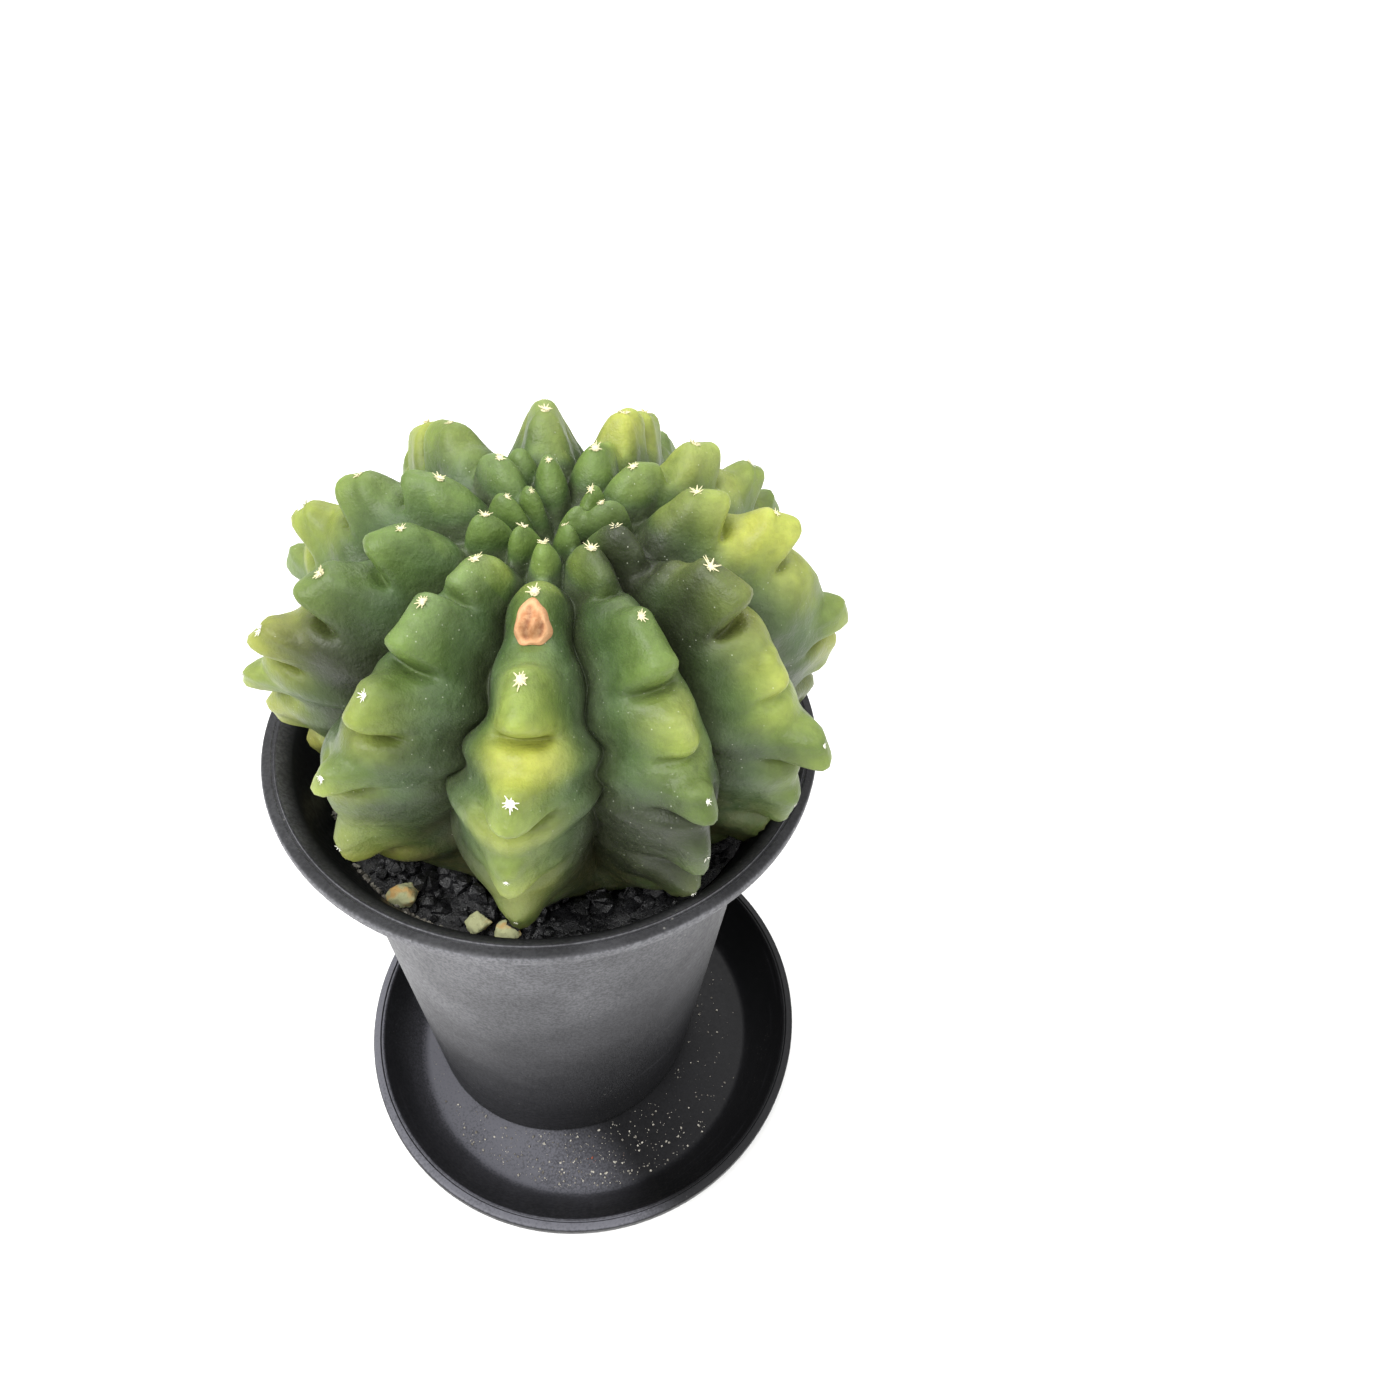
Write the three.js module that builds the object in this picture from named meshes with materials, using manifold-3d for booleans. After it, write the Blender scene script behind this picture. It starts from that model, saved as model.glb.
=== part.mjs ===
// Round ribbed cactus in a tall black nursery pot, standing off centre in a deep saucer.
// Millimetres, +Z up. The origin is the centre of the saucer's flat underside.
import * as THREE from 'three';
import { mergeVertices } from 'three/addons/utils/BufferGeometryUtils.js';
import Module from 'manifold-3d';

const wasm = await Module();
wasm.setup();

// ---- driving dimensions -------------------------------------------------------------------
const GAP = 0.3;                        // clearance between pieces that touch

const saucer = {
  floorRadius: 48, rimRadius: 60, floor: 1.5, wall: 1.4, height: 16.5, lip: 1.6,
  footRound: 1.5, lipInset: 0.4,        // the rounding under the foot, the lip's inner chamfer
};

const pot = {
  x: -6.4, y: 7.0,                      // the pot stands off the saucer's centre
  footRadius: 38, rimRadius: 55, height: 129,
  straightHeight: 110, straightRadius: 45,
  collarLevels: [110, 115, 120, 126.4], flareCurve: 1.25,   // the collar flares between these
  wall: 1.2, lipWidth: 2.8, edge: 0.6,
  footHeight: 2.5, footWidth: 3.5, floor: 1.8,
  drainRadius: 2.5, drainRing: 26, drains: 8, cutterLength: 12, notchWidth: 8, notchHeight: 2.4,
};
pot.z = saucer.floor + GAP;             // the foot's height above the ground

const soil = { depthBelowRim: 14.6, dome: 1.2 };
soil.top = pot.z + pot.height - soil.depthBelowRim;

const stem = {
  x: pot.x + 2.6, y: pot.y - 0.9, z: pot.z + 150.9,   // centre of the widest ring
  radius: 49.2, topHalf: 30.7, bottomHalf: 51.4,      // the round body under the tubercles
  bottomFullness: 0.8,                  // below 1 the underside is fuller than an ellipsoid
  leanX: -0.022, leanY: -0.066,         // the crown leans a little left and forward,
  tiltX: 0.03, tiltY: 0.04,             // and its top slopes down that way
  crownDepth: 4.5, crownWidth: 9,       // the sunken growing point
  furrowDepth: 10, furrowFull: 0.72,    // furrows grow to full depth where the ribs are wide
  collarGap: 1.1, collarSlope: 1.2,
  segmentsPerRib: 10, rings: 46, buriedFrom: 144, buriedRings: 4,
};

// A tubercle: a rounded peg that carries the areole, on a broad brow, over a crease and a swelling.
// Lengths in mm, angles in degrees down the stem, widths as shares of half a rib.
const tubercle = {
  ribWidth: 14, usualOffset: 3.5, firstAbove: 12, lastBelow: 18,
  pegHeight: 4.9, pegDroop: 1.4, pegWidth: 2.7, pegWidthBySize: 1.2, pegEdge: 2.5, pegFade: 3.3,
  browHeight: 1.2, browWidth: 0.58,
  creaseDepth: 2.4, creaseHeight: 2.1, creaseBelow: 1.4, creaseSag: 0.14,
  swellHeight: 1.4, swellWidth: 0.8, swellPush: 0.075,
};

// The young tubercles that crowd round the growing point and fade into the ribs.
const egg = {
  height: 6, sink: 4, valley: -2.5, fadeFrom: 17, fadeTo: 30, last: 38,
  halfLength: 2.4, halfWidth: 2.6, widestGap: 14, spread: 0.47,
};

// Each rib: its azimuth from the front (-Y) towards +X, how far it drifts round on its way down,
// then its areoles from the crown down. An areole is [polar angle, size of its peg = 1, angle
// from the areole to the peg's tip = the usual offset].
const RIBS = [
  [-146, -4, [[7, 0.8], [17], [35], [47], [68], [90], [109, 0.9]]],
  [-110, -4, [[9, 0.8], [22], [39, 1, 2], [58, 1, 2], [80], [104]]],
  [-71, -14, [[13], [27.5, 1, 3], [43.5, 1.1, 3], [62, 1, 2], [87, 1.1, 2], [101, 0.9, 2], [115, 0.8, 2]]],
  [-39, -9, [[9], [22, 0.9, 3], [34.5, 1.1, 5.5], [53.5, 1, 3], [76, 0.9, 2], [106, 1, 2]]],
  [-9, -3, [[13, 0.8], [25.5, 0.4], [44, 1.25, 5], [67, 1, 4], [93, 0.8], [111, 0.9]]],
  [22, 0, [[6, 0.8], [17], [35.5, 1.1, 7], [57, 0.4], [75, 1, 3], [95, 0.9], [110, 0.9]]],
  [49, -2, [[15], [34.5, 1.3, 5], [58, 0.4], [81, 1.4, 3], [102, 0.9], [117, 0.8]]],
  [86.5, 3, [[9.5, 0.9], [27, 1, 3], [44, 1.1, 3], [81, 1.2, 3], [95, 0.9], [108, 0.8]]],
  [119.6, 0, [[9, 0.8], [19], [34, 1, 3], [55, 1, 2], [71], [90], [108, 0.9]]],
  [150, 0, [[19, 1.1], [32, 1, 2], [45, 1, 2], [64], [87], [106, 0.9]]],
  [180, 0, [[13], [28, 1.1, 2], [41, 1, 2], [52], [72], [93], [110, 0.9]]],
].map(([azimuth, drift, areoles]) => ({ azimuth, drift, areoles: areoles.map(spaced) }));

// Young tubercles between the beginnings of two ribs: azimuth, polar angle, size.
const LONE = [[-163, 20, 1], [100, 4.5, 0.7]];

// Stones beside the stem: azimuth, distance from the pot's axis, size.
const PALE_STONES = [[-42, 43.2, 5.2], [-20.5, 42.6, 4.6], [-13.4, 43, 4.4], [-82, 42.4, 4.6]];
const grit = {
  count: 20, first: -172, last: 40, radius: 43.4, size: 2.8, sizeSpread: 0.8,
  besideRadius: 38.9, besideSize: 2.2, besideAngle: 7,     // the grit behind a pale stone
};

// An areole with the angles to the ones above and below it on the same rib.
function spaced([at, size = 1, offset = tubercle.usualOffset], k, list) {
  const above = k > 0 ? at - list[k - 1][0] : tubercle.firstAbove;
  const below = k + 1 < list.length ? list[k + 1][0] - at : tubercle.lastBelow;
  return {
    at, size, above, below, first: k === 0,
    reach: size * Math.min(1, Math.sin(at * Math.PI / 180) / 0.5 + 0.12),
    tip: at + Math.min(offset, 0.36 * below),
    upper: Math.min(tubercle.pegFade, 0.30 * above),
    lower: Math.min(tubercle.pegFade, 0.22 * below),
  };
}

// ---- helpers ------------------------------------------------------------------------------
const rad = THREE.MathUtils.degToRad;
const bell = (x) => Math.exp(-x * x);
const ramp = (x, low, high) => THREE.MathUtils.smoothstep(x, low, high);

function finish(color, roughness, metalness = 0) {
  return new THREE.MeshStandardMaterial({ color, roughness, metalness, flatShading: true });
}

function bare(geometry) {
  const plain = geometry.index ? geometry : geometry.clone();
  plain.deleteAttribute('normal');
  plain.deleteAttribute('uv');
  return mergeVertices(plain, 1e-4);
}

function toSolid(geometry) {
  const closed = bare(geometry);
  return new wasm.Manifold(new wasm.Mesh({
    numProp: 3,
    vertProperties: new Float32Array(closed.attributes.position.array),
    triVerts: new Uint32Array(closed.index.array),
  }));
}

function toGeometry(solid) {
  const mesh = solid.getMesh();
  const geometry = new THREE.BufferGeometry();
  geometry.setAttribute('position', new THREE.BufferAttribute(mesh.vertProperties, 3));
  geometry.setIndex(new THREE.BufferAttribute(mesh.triVerts, 1));
  return geometry;
}

// A profile of [radius, height] points that starts and ends on the axis, turned about +Z.
function turned(profile, segments) {
  const points = profile.map(([r, z]) => new THREE.Vector2(r, z));
  return bare(new THREE.LatheGeometry(points, segments)).rotateX(Math.PI / 2);
}

function part(name, geometry, material, x = 0, y = 0, z = 0) {
  const mesh = new THREE.Mesh(geometry, material);
  mesh.name = name;
  mesh.position.set(x, y, z);
  return mesh;
}

// A repeatable stream of numbers from 0 to 1, so that the stones come out the same each time.
function stream(seed) {
  let state = seed;
  return () => {
    state = (state * 16807) % 2147483647;
    return state / 2147483647;
  };
}

// ---- saucer -------------------------------------------------------------------------------
function saucerGeometry() {
  const { floorRadius, rimRadius, floor, wall, height, lip, footRound, lipInset } = saucer;
  const outer = rimRadius - lip;
  const inner = outer - wall;
  return turned([
    [0, 0], [floorRadius - 1, 0], [floorRadius + footRound, 1.2],
    [outer, height - lip * 2], [rimRadius, height - lip * 1.6], [rimRadius, height],
    [inner + lipInset, height], [inner - 0.3, height - lip],
    [floorRadius, floor + 0.6], [floorRadius - 1.2, floor], [0, floor],
  ], 72);
}

// ---- pot ----------------------------------------------------------------------------------
// The outside radius at a height above the foot: a straight cone, then a flared collar.
function coneRadius(height) {
  return pot.footRadius + (pot.straightRadius - pot.footRadius) * height / pot.straightHeight;
}

function potRadius(height) {
  const flare = Math.max(0, (height - pot.straightHeight) / (pot.height - pot.straightHeight));
  const widening = pot.rimRadius - pot.lipWidth - coneRadius(pot.height);
  return coneRadius(height) + widening * flare ** pot.flareCurve;
}

function potGeometry() {
  const { footRadius, rimRadius, height, wall, lipWidth, edge, footHeight, footWidth, floor } = pot;
  const lipBottom = pot.collarLevels.at(-1);
  const outside = pot.collarLevels.map((z) => [potRadius(z), z]);
  const inside = [...pot.collarLevels].reverse().map((z) => [potRadius(z) - wall, z]);
  const shell = toSolid(turned([
    [0, footHeight], [footRadius - footWidth, footHeight], [footRadius - footWidth + edge, 0],
    [footRadius - edge, 0], [footRadius, edge],
    ...outside, [rimRadius - edge, lipBottom], [rimRadius, lipBottom + edge], [rimRadius, height - edge],
    [rimRadius - edge, height], [rimRadius - lipWidth, height], ...inside,
    [footRadius - wall + 0.3, footHeight + floor], [0, footHeight + floor],
  ], 56));
  return toGeometry(drainCutters().reduce((left, cutter) => left.subtract(cutter), shell));
}

// Holes through the floor and notches through the foot ring, so water reaches the saucer.
function drainCutters() {
  const cutters = [];
  const { drainRadius, cutterLength, notchWidth, notchHeight } = pot;
  const hole = new THREE.CylinderGeometry(drainRadius, drainRadius, cutterLength, 16).rotateX(Math.PI / 2);
  const notch = new THREE.BoxGeometry(notchWidth, cutterLength, notchHeight);
  cutters.push(toSolid(hole));
  for (let k = 0; k < pot.drains; k += 1) {
    const angle = (k / pot.drains) * 2 * Math.PI;
    const at = (radius) => [radius * Math.cos(angle), radius * Math.sin(angle), 0];
    cutters.push(toSolid(hole.clone().translate(...at(pot.drainRing))));
    if (k % 2 === 0) {
      const ring = pot.footRadius - pot.footWidth + pot.edge;
      cutters.push(toSolid(notch.clone().rotateZ(angle - Math.PI / 2).translate(...at(ring))));
    }
  }
  return cutters;
}

// ---- cactus stem --------------------------------------------------------------------------
// The bare round body, before ribs, with its outward and its downhill direction.
function bodyPoint(azimuth, polar) {
  const a = rad(azimuth);
  const p = rad(polar);
  const around = new THREE.Vector3(Math.sin(a), -Math.cos(a), 0);
  const half = polar < 90 ? stem.topHalf : stem.bottomHalf;
  const radius = stem.radius * Math.sin(p) ** (polar < 90 ? 1 : stem.bottomFullness);
  const height = half * Math.cos(p) - stem.crownDepth * bell(radius / stem.crownWidth) * (polar < 90);
  const point = around.clone().multiplyScalar(radius).add(new THREE.Vector3(0, 0, height));
  const out = around.clone().multiplyScalar(Math.sin(p) / stem.radius)
    .add(new THREE.Vector3(0, 0, Math.cos(p) / half)).normalize();
  const down = around.clone().multiplyScalar(out.z).add(new THREE.Vector3(0, 0, -out.dot(around)));
  return { point, out, down };
}

// The low tubercles press against the collar, so the stem keeps inside it all the way round.
function keepInsidePot(point) {
  const x = point.x + stem.x - pot.x;
  const y = point.y + stem.y - pot.y;
  const height = point.z + stem.z - pot.z;
  const above = Math.max(0, height - pot.height);
  const inner = Math.min(potRadius(height - above) - pot.wall, pot.rimRadius - pot.lipWidth);
  const limit = inner - stem.collarGap + stem.collarSlope * above;
  const shrink = Math.min(1, limit / Math.hypot(x, y));
  point.x += x * (shrink - 1);
  point.y += y * (shrink - 1);
  return point;
}

// How far the tubercles of one rib stand out and droop at a polar angle, u across the rib.
function tubercles(rib, u, polar) {
  const t = tubercle;
  let out = 0;
  let droop = 0;
  let swell = 0;
  rib.areoles.forEach(({ at, size, above, below, reach, tip, upper, lower }) => {
    const low = ramp(at, 50, 90);       // pegs and creases are fainter low on the stem
    const halfWidth = t.ribWidth * Math.sin(rad(at)) + 1;
    const narrow = Math.min(0.6, (t.pegWidth + t.pegWidthBySize * size) / halfWidth) * (1 - 0.2 * low);
    const past = Math.max(0, at - polar, polar - tip) / (polar > tip ? lower : upper);
    const lean = THREE.MathUtils.clamp((polar - at) / (tip - at), 0, 1);
    const edge = Math.exp(-(Math.hypot(past, u / narrow) ** t.pegEdge));
    const peg = edge * (0.75 + 0.25 * lean) * (1 - 0.25 * low) * reach;
    const browLength = polar > tip ? 0.16 * below : 0.5 * above;
    const brow = bell((polar - tip) / browLength) * bell(u / t.browWidth) * reach * (0.5 + 0.5 * low);
    const arc = tip + lower + t.creaseBelow - t.creaseSag * u * u * below;
    const creaseAcross = bell((u / (0.4 + 0.1 * low)) ** 2);
    const crease = bell((polar - arc) / Math.min(t.creaseHeight, 0.1 * below)) * creaseAcross * reach;
    const fat = bell((polar - arc - 0.25 * below) / (0.34 * below));
    out += t.pegHeight * peg + t.browHeight * brow - t.creaseDepth * (1 - 0.5 * low) * crease;
    out += t.swellHeight * fat * bell(u / t.swellWidth) * reach;
    droop += t.pegDroop * peg * lean;
    swell += fat * size;
  });
  return { out, droop, swell };
}

// The crown's tubercles: azimuth, distance from the axis, half length and half width.
function youngOnes() {
  const spread = egg.spread * 2 * Math.PI / RIBS.length;
  const onRibs = RIBS.flatMap(({ azimuth, areoles }) => areoles.filter(({ at }) => at <= egg.last)
    .map(({ at, size, above, below, first }) => {
      const radius = stem.radius * Math.sin(rad(at + 0.02 * below));
      const gap = first ? 0.75 * below : 0.5 * (above + below);
      const long = Math.max(egg.halfLength, 0.5 * stem.radius * rad(Math.min(gap, egg.widestGap)));
      return { azimuth, radius, long, wide: Math.max(egg.halfWidth, spread * radius), size };
    }));
  const alone = LONE.map(([azimuth, at, size]) => (
    { azimuth, radius: stem.radius * Math.sin(rad(at)), long: 3.6, wide: 3, size }));
  return [...onRibs, ...alone];
}

// The height of the young tubercles round the growing point: domes that meet in sharp valleys.
function crownEggs(point, young) {
  let best = egg.valley;
  young.forEach(({ azimuth, radius, long, wide, size }) => {
    const away = new THREE.Vector3(Math.sin(rad(azimuth)), -Math.cos(rad(azimuth)), 0);
    const beside = new THREE.Vector3(-away.y, away.x, 0);
    const along = point.dot(away) - radius;
    const stretch = along / (long * (along > 0 ? 0.95 : 1.1));
    const across = point.dot(beside) / (wide * (0.8 + 0.2 * size));
    best = Math.max(best, egg.height * (0.75 + 0.25 * size) * (1 - stretch ** 2 - across ** 2));
  });
  return best;
}

// A rib's azimuth at a polar angle: a grown rib leans a little round the stem.
function ribAzimuth(rib, polar) {
  return rib.azimuth + rib.drift * ramp(polar, 45, 110);
}

// The angle between two neighbouring ribs, and how much of it belongs to the left one: half, more
// if it swells more than the right one.
function ribGap(left, right, polar) {
  const apart = (ribAzimuth(right, polar) - ribAzimuth(left, polar) + 360) % 360;
  const push = tubercles(left, 0, polar).swell - tubercles(right, 0, polar).swell;
  const share = apart * (0.5 + tubercle.swellPush * THREE.MathUtils.clamp(push, -1, 1));
  return { apart, share };
}

function stemPoint(index, u, polar, young) {
  const rib = RIBS[index];
  const before = RIBS[(index + RIBS.length - 1) % RIBS.length];
  const after = RIBS[(index + 1) % RIBS.length];
  const left = ribGap(before, rib, polar);
  const edge = u < 0 ? left.apart - left.share : ribGap(rib, after, polar).share;
  const { point, out, down } = bodyPoint(ribAzimuth(rib, polar) + u * edge, polar);
  const ribbed = Math.min(1, Math.sin(rad(polar)) / stem.furrowFull) ** 0.7 * (1 - ramp(polar, 118, 142));
  const kept = 1 - ramp(polar, 126, 140);
  const bend = 2.3 - 0.9 * ramp(polar, 35, 75);            // round ribs above, keeled ribs below
  const across = Math.abs(u);
  const furrow = stem.furrowDepth * ribbed * (0.8 * across ** bend + 0.2 * across ** 5);
  const relief = tubercles(rib, u, polar);
  const crown = 1 - ramp(polar, egg.fadeFrom, egg.fadeTo);
  const ribHeight = relief.out * kept - furrow;
  const height = ribHeight + crown * (crownEggs(point, young) - egg.sink - ribHeight);
  point.addScaledVector(out, height).addScaledVector(down, relief.droop * kept * (1 - crown));
  const tilt = (stem.tiltX * point.x + stem.tiltY * point.y) * (1 - ramp(polar, 50, 100));
  point.add(new THREE.Vector3(stem.leanX * point.z, stem.leanY * point.z, tilt));
  return keepInsidePot(point);
}

function stemGeometry() {
  const segments = RIBS.length * stem.segmentsPerRib;
  const visibleRings = stem.rings - stem.buriedRings;
  const geometry = new THREE.SphereGeometry(1, segments, stem.rings);
  const position = geometry.attributes.position;
  const young = youngOnes();
  for (let i = 0; i < position.count; i += 1) {
    const ring = Math.floor(i / (segments + 1));
    const pole = ring === 0 || ring === stem.rings;
    const column = pole ? 0 : (i % (segments + 1)) % segments;
    const across = (column % stem.segmentsPerRib) / stem.segmentsPerRib * 2 - 1;
    const u = Math.sign(across) * (1 - (1 - Math.abs(across)) ** 1.3);
    const buried = Math.max(0, ring - visibleRings) / stem.buriedRings;
    const polar = stem.buriedFrom * Math.min(1, ring / visibleRings) + (180 - stem.buriedFrom) * buried;
    const point = stemPoint(Math.floor(column / stem.segmentsPerRib), u, polar, young);
    position.setXYZ(i, point.x, point.y, point.z);
  }
  return bare(geometry);
}

// ---- soil, stones and grit ----------------------------------------------------------------
function soilGeometry(stemShape) {
  const bottom = pot.footHeight + pot.floor + GAP;
  const top = soil.top - pot.z;
  const levels = [bottom, pot.straightHeight, top];
  const profile = levels.map((z) => [potRadius(z) - pot.wall - GAP, z]);
  profile[0][0] = pot.footRadius - pot.wall - GAP;
  const bed = toSolid(turned([[0, bottom], ...profile, [0, top + soil.dome]], 56)
    .translate(pot.x, pot.y, pot.z));
  const grow = 1.009;
  const hollow = toSolid(stemShape.clone().scale(grow, grow, grow).translate(stem.x, stem.y, stem.z));
  return toGeometry(bed.subtract(hollow));
}

// One rough stone about its own centre: an icosahedron with its corners moved.
function stoneGeometry(size, detail, random) {
  const geometry = bare(new THREE.IcosahedronGeometry(size / 2, detail));
  const position = geometry.attributes.position;
  const flat = [1.15, 0.95, 0.75];
  for (let i = 0; i < position.count; i += 1) {
    const swell = 0.86 + 0.2 * random();
    position.setXYZ(i, ...[0, 1, 2].map((k) => position.getComponent(i, k) * swell * flat[k]));
  }
  return geometry.rotateZ(random() * Math.PI * 2);
}

function stones() {
  const random = stream(11);
  const list = [];
  const place = (name, azimuth, radius, size, detail, material) => {
    const a = rad(azimuth);
    const geometry = stoneGeometry(size, detail, random);
    geometry.computeBoundingBox();
    const x = pot.x + radius * Math.sin(a);
    const y = pot.y - radius * Math.cos(a);
    const rise = soil.dome * (1 - radius / 46);
    const z = soil.top + rise + GAP + 0.15 - geometry.boundingBox.min.z;
    list.push(part(name, geometry, material, x, y, z));
  };
  const pale = finish(0xb9bb8c, 0.85);
  const lava = finish(0x232426, 0.55);
  PALE_STONES.forEach(([azimuth, radius, size], k) => {
    place(`pale_stone_${k + 1}`, azimuth, radius, size, 1, pale);
  });
  // The loose grit lies where there is room beside the stem: round the left and along the front.
  for (let k = 0; k < grit.count; k += 1) {
    const azimuth = grit.first + (grit.last - grit.first) * k / (grit.count - 1);
    const beside = PALE_STONES.some(([at]) => Math.abs(at - azimuth) < grit.besideAngle);
    const size = beside ? grit.besideSize : grit.size + grit.sizeSpread * random();
    const name = `grit_${String(k + 1).padStart(2, '0')}`;
    place(name, azimuth, beside ? grit.besideRadius : grit.radius, size, 0, lava);
  }
  return list;
}

// ---- the whole plant ----------------------------------------------------------------------
const group = new THREE.Group();
const stemShape = stemGeometry();
group.add(
  part('saucer', saucerGeometry(), finish(0x1e1f21, 0.5)),
  part('pot', potGeometry(), finish(0x4a4b4d, 0.62), pot.x, pot.y, pot.z),
  part('soil_bed', soilGeometry(stemShape), finish(0x1b1b1c, 0.9)),
  part('cactus_stem', stemShape, finish(0x5f8a3c, 0.55), stem.x, stem.y, stem.z),
  ...stones(),
);

export default group;
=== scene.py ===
"""A round ribbed cactus in a tall nursery pot, standing off centre in a deep saucer.

Every length is in metres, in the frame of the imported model: +Z up, -Y the front, the origin at the
centre of the saucer's underside. The skin's formula works in millimetres and degrees inside.
"""

import math
import random
from functools import partial

import bpy
import numpy as np
from bpy.props import FloatProperty, FloatVectorProperty, IntProperty, PointerProperty
from mathutils import Matrix, Vector, noise


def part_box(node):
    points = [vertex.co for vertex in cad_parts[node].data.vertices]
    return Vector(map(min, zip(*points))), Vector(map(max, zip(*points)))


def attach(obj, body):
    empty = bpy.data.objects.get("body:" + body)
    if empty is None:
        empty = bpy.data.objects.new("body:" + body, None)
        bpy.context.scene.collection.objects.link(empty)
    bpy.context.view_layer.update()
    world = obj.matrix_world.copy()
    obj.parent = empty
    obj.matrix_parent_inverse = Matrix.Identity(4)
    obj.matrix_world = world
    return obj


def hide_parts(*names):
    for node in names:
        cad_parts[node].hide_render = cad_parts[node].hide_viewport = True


bl_info = {
    "name": "Potted round cactus",
    "version": (1, 0, 0),
    "blender": (4, 5, 0),
    "location": "3D View > Sidebar > Cactus",
    "description": "Models a round ribbed cactus with its pot, soil and saucer",
    "category": "Add Mesh",
}

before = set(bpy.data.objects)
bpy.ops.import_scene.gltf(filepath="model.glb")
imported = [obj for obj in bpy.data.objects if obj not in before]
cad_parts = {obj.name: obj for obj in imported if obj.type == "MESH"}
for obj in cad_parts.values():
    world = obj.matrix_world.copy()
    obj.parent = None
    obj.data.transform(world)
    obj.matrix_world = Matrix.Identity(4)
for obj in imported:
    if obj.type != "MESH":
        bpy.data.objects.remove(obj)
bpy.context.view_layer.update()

MM = 0.001


# ---- places that come from the frame ------------------------------------------------------
def middle(node):
    low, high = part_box(node)
    return (low + high) / 2


POT_LOW, POT_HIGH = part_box("pot")
POT_AXIS = middle("pot")
POT_HEIGHT = POT_HIGH.z - POT_LOW.z
POT_RIM = (POT_HIGH.x - POT_LOW.x) / 2
SAUCER_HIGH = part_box("saucer")[1]
SAUCER_RIM = SAUCER_HIGH.x
PALE_STONES = sorted(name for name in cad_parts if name.startswith("pale_stone"))
GRIT = sorted(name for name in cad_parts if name.startswith("grit"))


# ---- colour and node helpers --------------------------------------------------------------
# Settings that many nodes share: a Map Range that eases in and out, a Math node that multiplies,
# and a Mix of colours, whose share is socket 0, whose colours are 6 and 7 and whose output is 2.
SMOOTH = {"interpolation_type": "SMOOTHSTEP"}
TIMES = {"operation": "MULTIPLY"}
COLOURS = {"data_type": "RGBA", "out": 2}


def linear(hex_colour, alpha=1.0):
    """An sRGB hex value as Blender's linear colour."""
    channels = [int(hex_colour[k:k + 2], 16) / 255 for k in (1, 3, 5)]
    bent = [c / 12.92 if c <= 0.04045 else ((c + 0.055) / 1.055) ** 2.4 for c in channels]
    return (*bent, alpha)


def connect(node, inputs):
    """Gives a node's sockets, by name or in order, a value or another node's output each."""
    pairs = inputs.items() if isinstance(inputs, dict) else enumerate(inputs)
    for socket, source in pairs:
        if isinstance(source, bpy.types.NodeSocket):
            node.id_data.links.new(source, node.inputs[socket])
        else:
            node.inputs[socket].default_value = source


def add_node(tree, kind, inputs=(), out=0, **settings):
    """Adds one node with its settings and links, and returns the output that is wanted."""
    node = tree.nodes.new("ShaderNode" + kind)
    for name, value in settings.items():
        setattr(node, name, value)
    connect(node, inputs)
    return node.outputs[out]


def new_material(name):
    """An empty material, the function that adds nodes to it, and its shader."""
    material = bpy.data.materials.new(name)
    material.use_nodes = True
    tree = material.node_tree
    tree.nodes.clear()
    shader = tree.nodes.new("ShaderNodeBsdfPrincipled")
    connect(tree.nodes.new("ShaderNodeOutputMaterial"), {"Surface": shader.outputs["BSDF"]})
    return material, partial(add_node, tree), shader


def lumps_at(add, size, detail=3.0, roughness=0.55, offset=0.0):
    """A pattern of soft lumps about size metres across, shifted so that no two agree."""
    where = add("TexCoord", out="Object")
    moved = add("Mapping", {"Vector": where, "Location": (offset,) * 3})
    return add("TexNoise", {"Vector": moved, "Scale": 1 / size, "Detail": detail,
                            "Roughness": roughness})


def specks_at(add, size, threshold, where_from, low, high):
    """A pattern of small round specks, one per cell of size metres, where a pattern is high."""
    cells = add("TexVoronoi", {"Vector": add("TexCoord", out="Object"), "Scale": 1 / size})
    dots = add("MapRange", [cells, threshold, threshold * 0.5, 0, 1], **SMOOTH)
    return add("Math", [dots, add("MapRange", [where_from, low, high, 0, 1], **SMOOTH)], **TIMES)


# ---- properties ---------------------------------------------------------------------------
def length(name, description, default):
    return FloatProperty(name=name, description=description, default=default, unit="LENGTH",
                         precision=4)


def colour(name, description, default):
    return FloatVectorProperty(name=name, description=description, subtype="COLOR", size=4,
                               default=linear(default), min=0, max=1)


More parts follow.
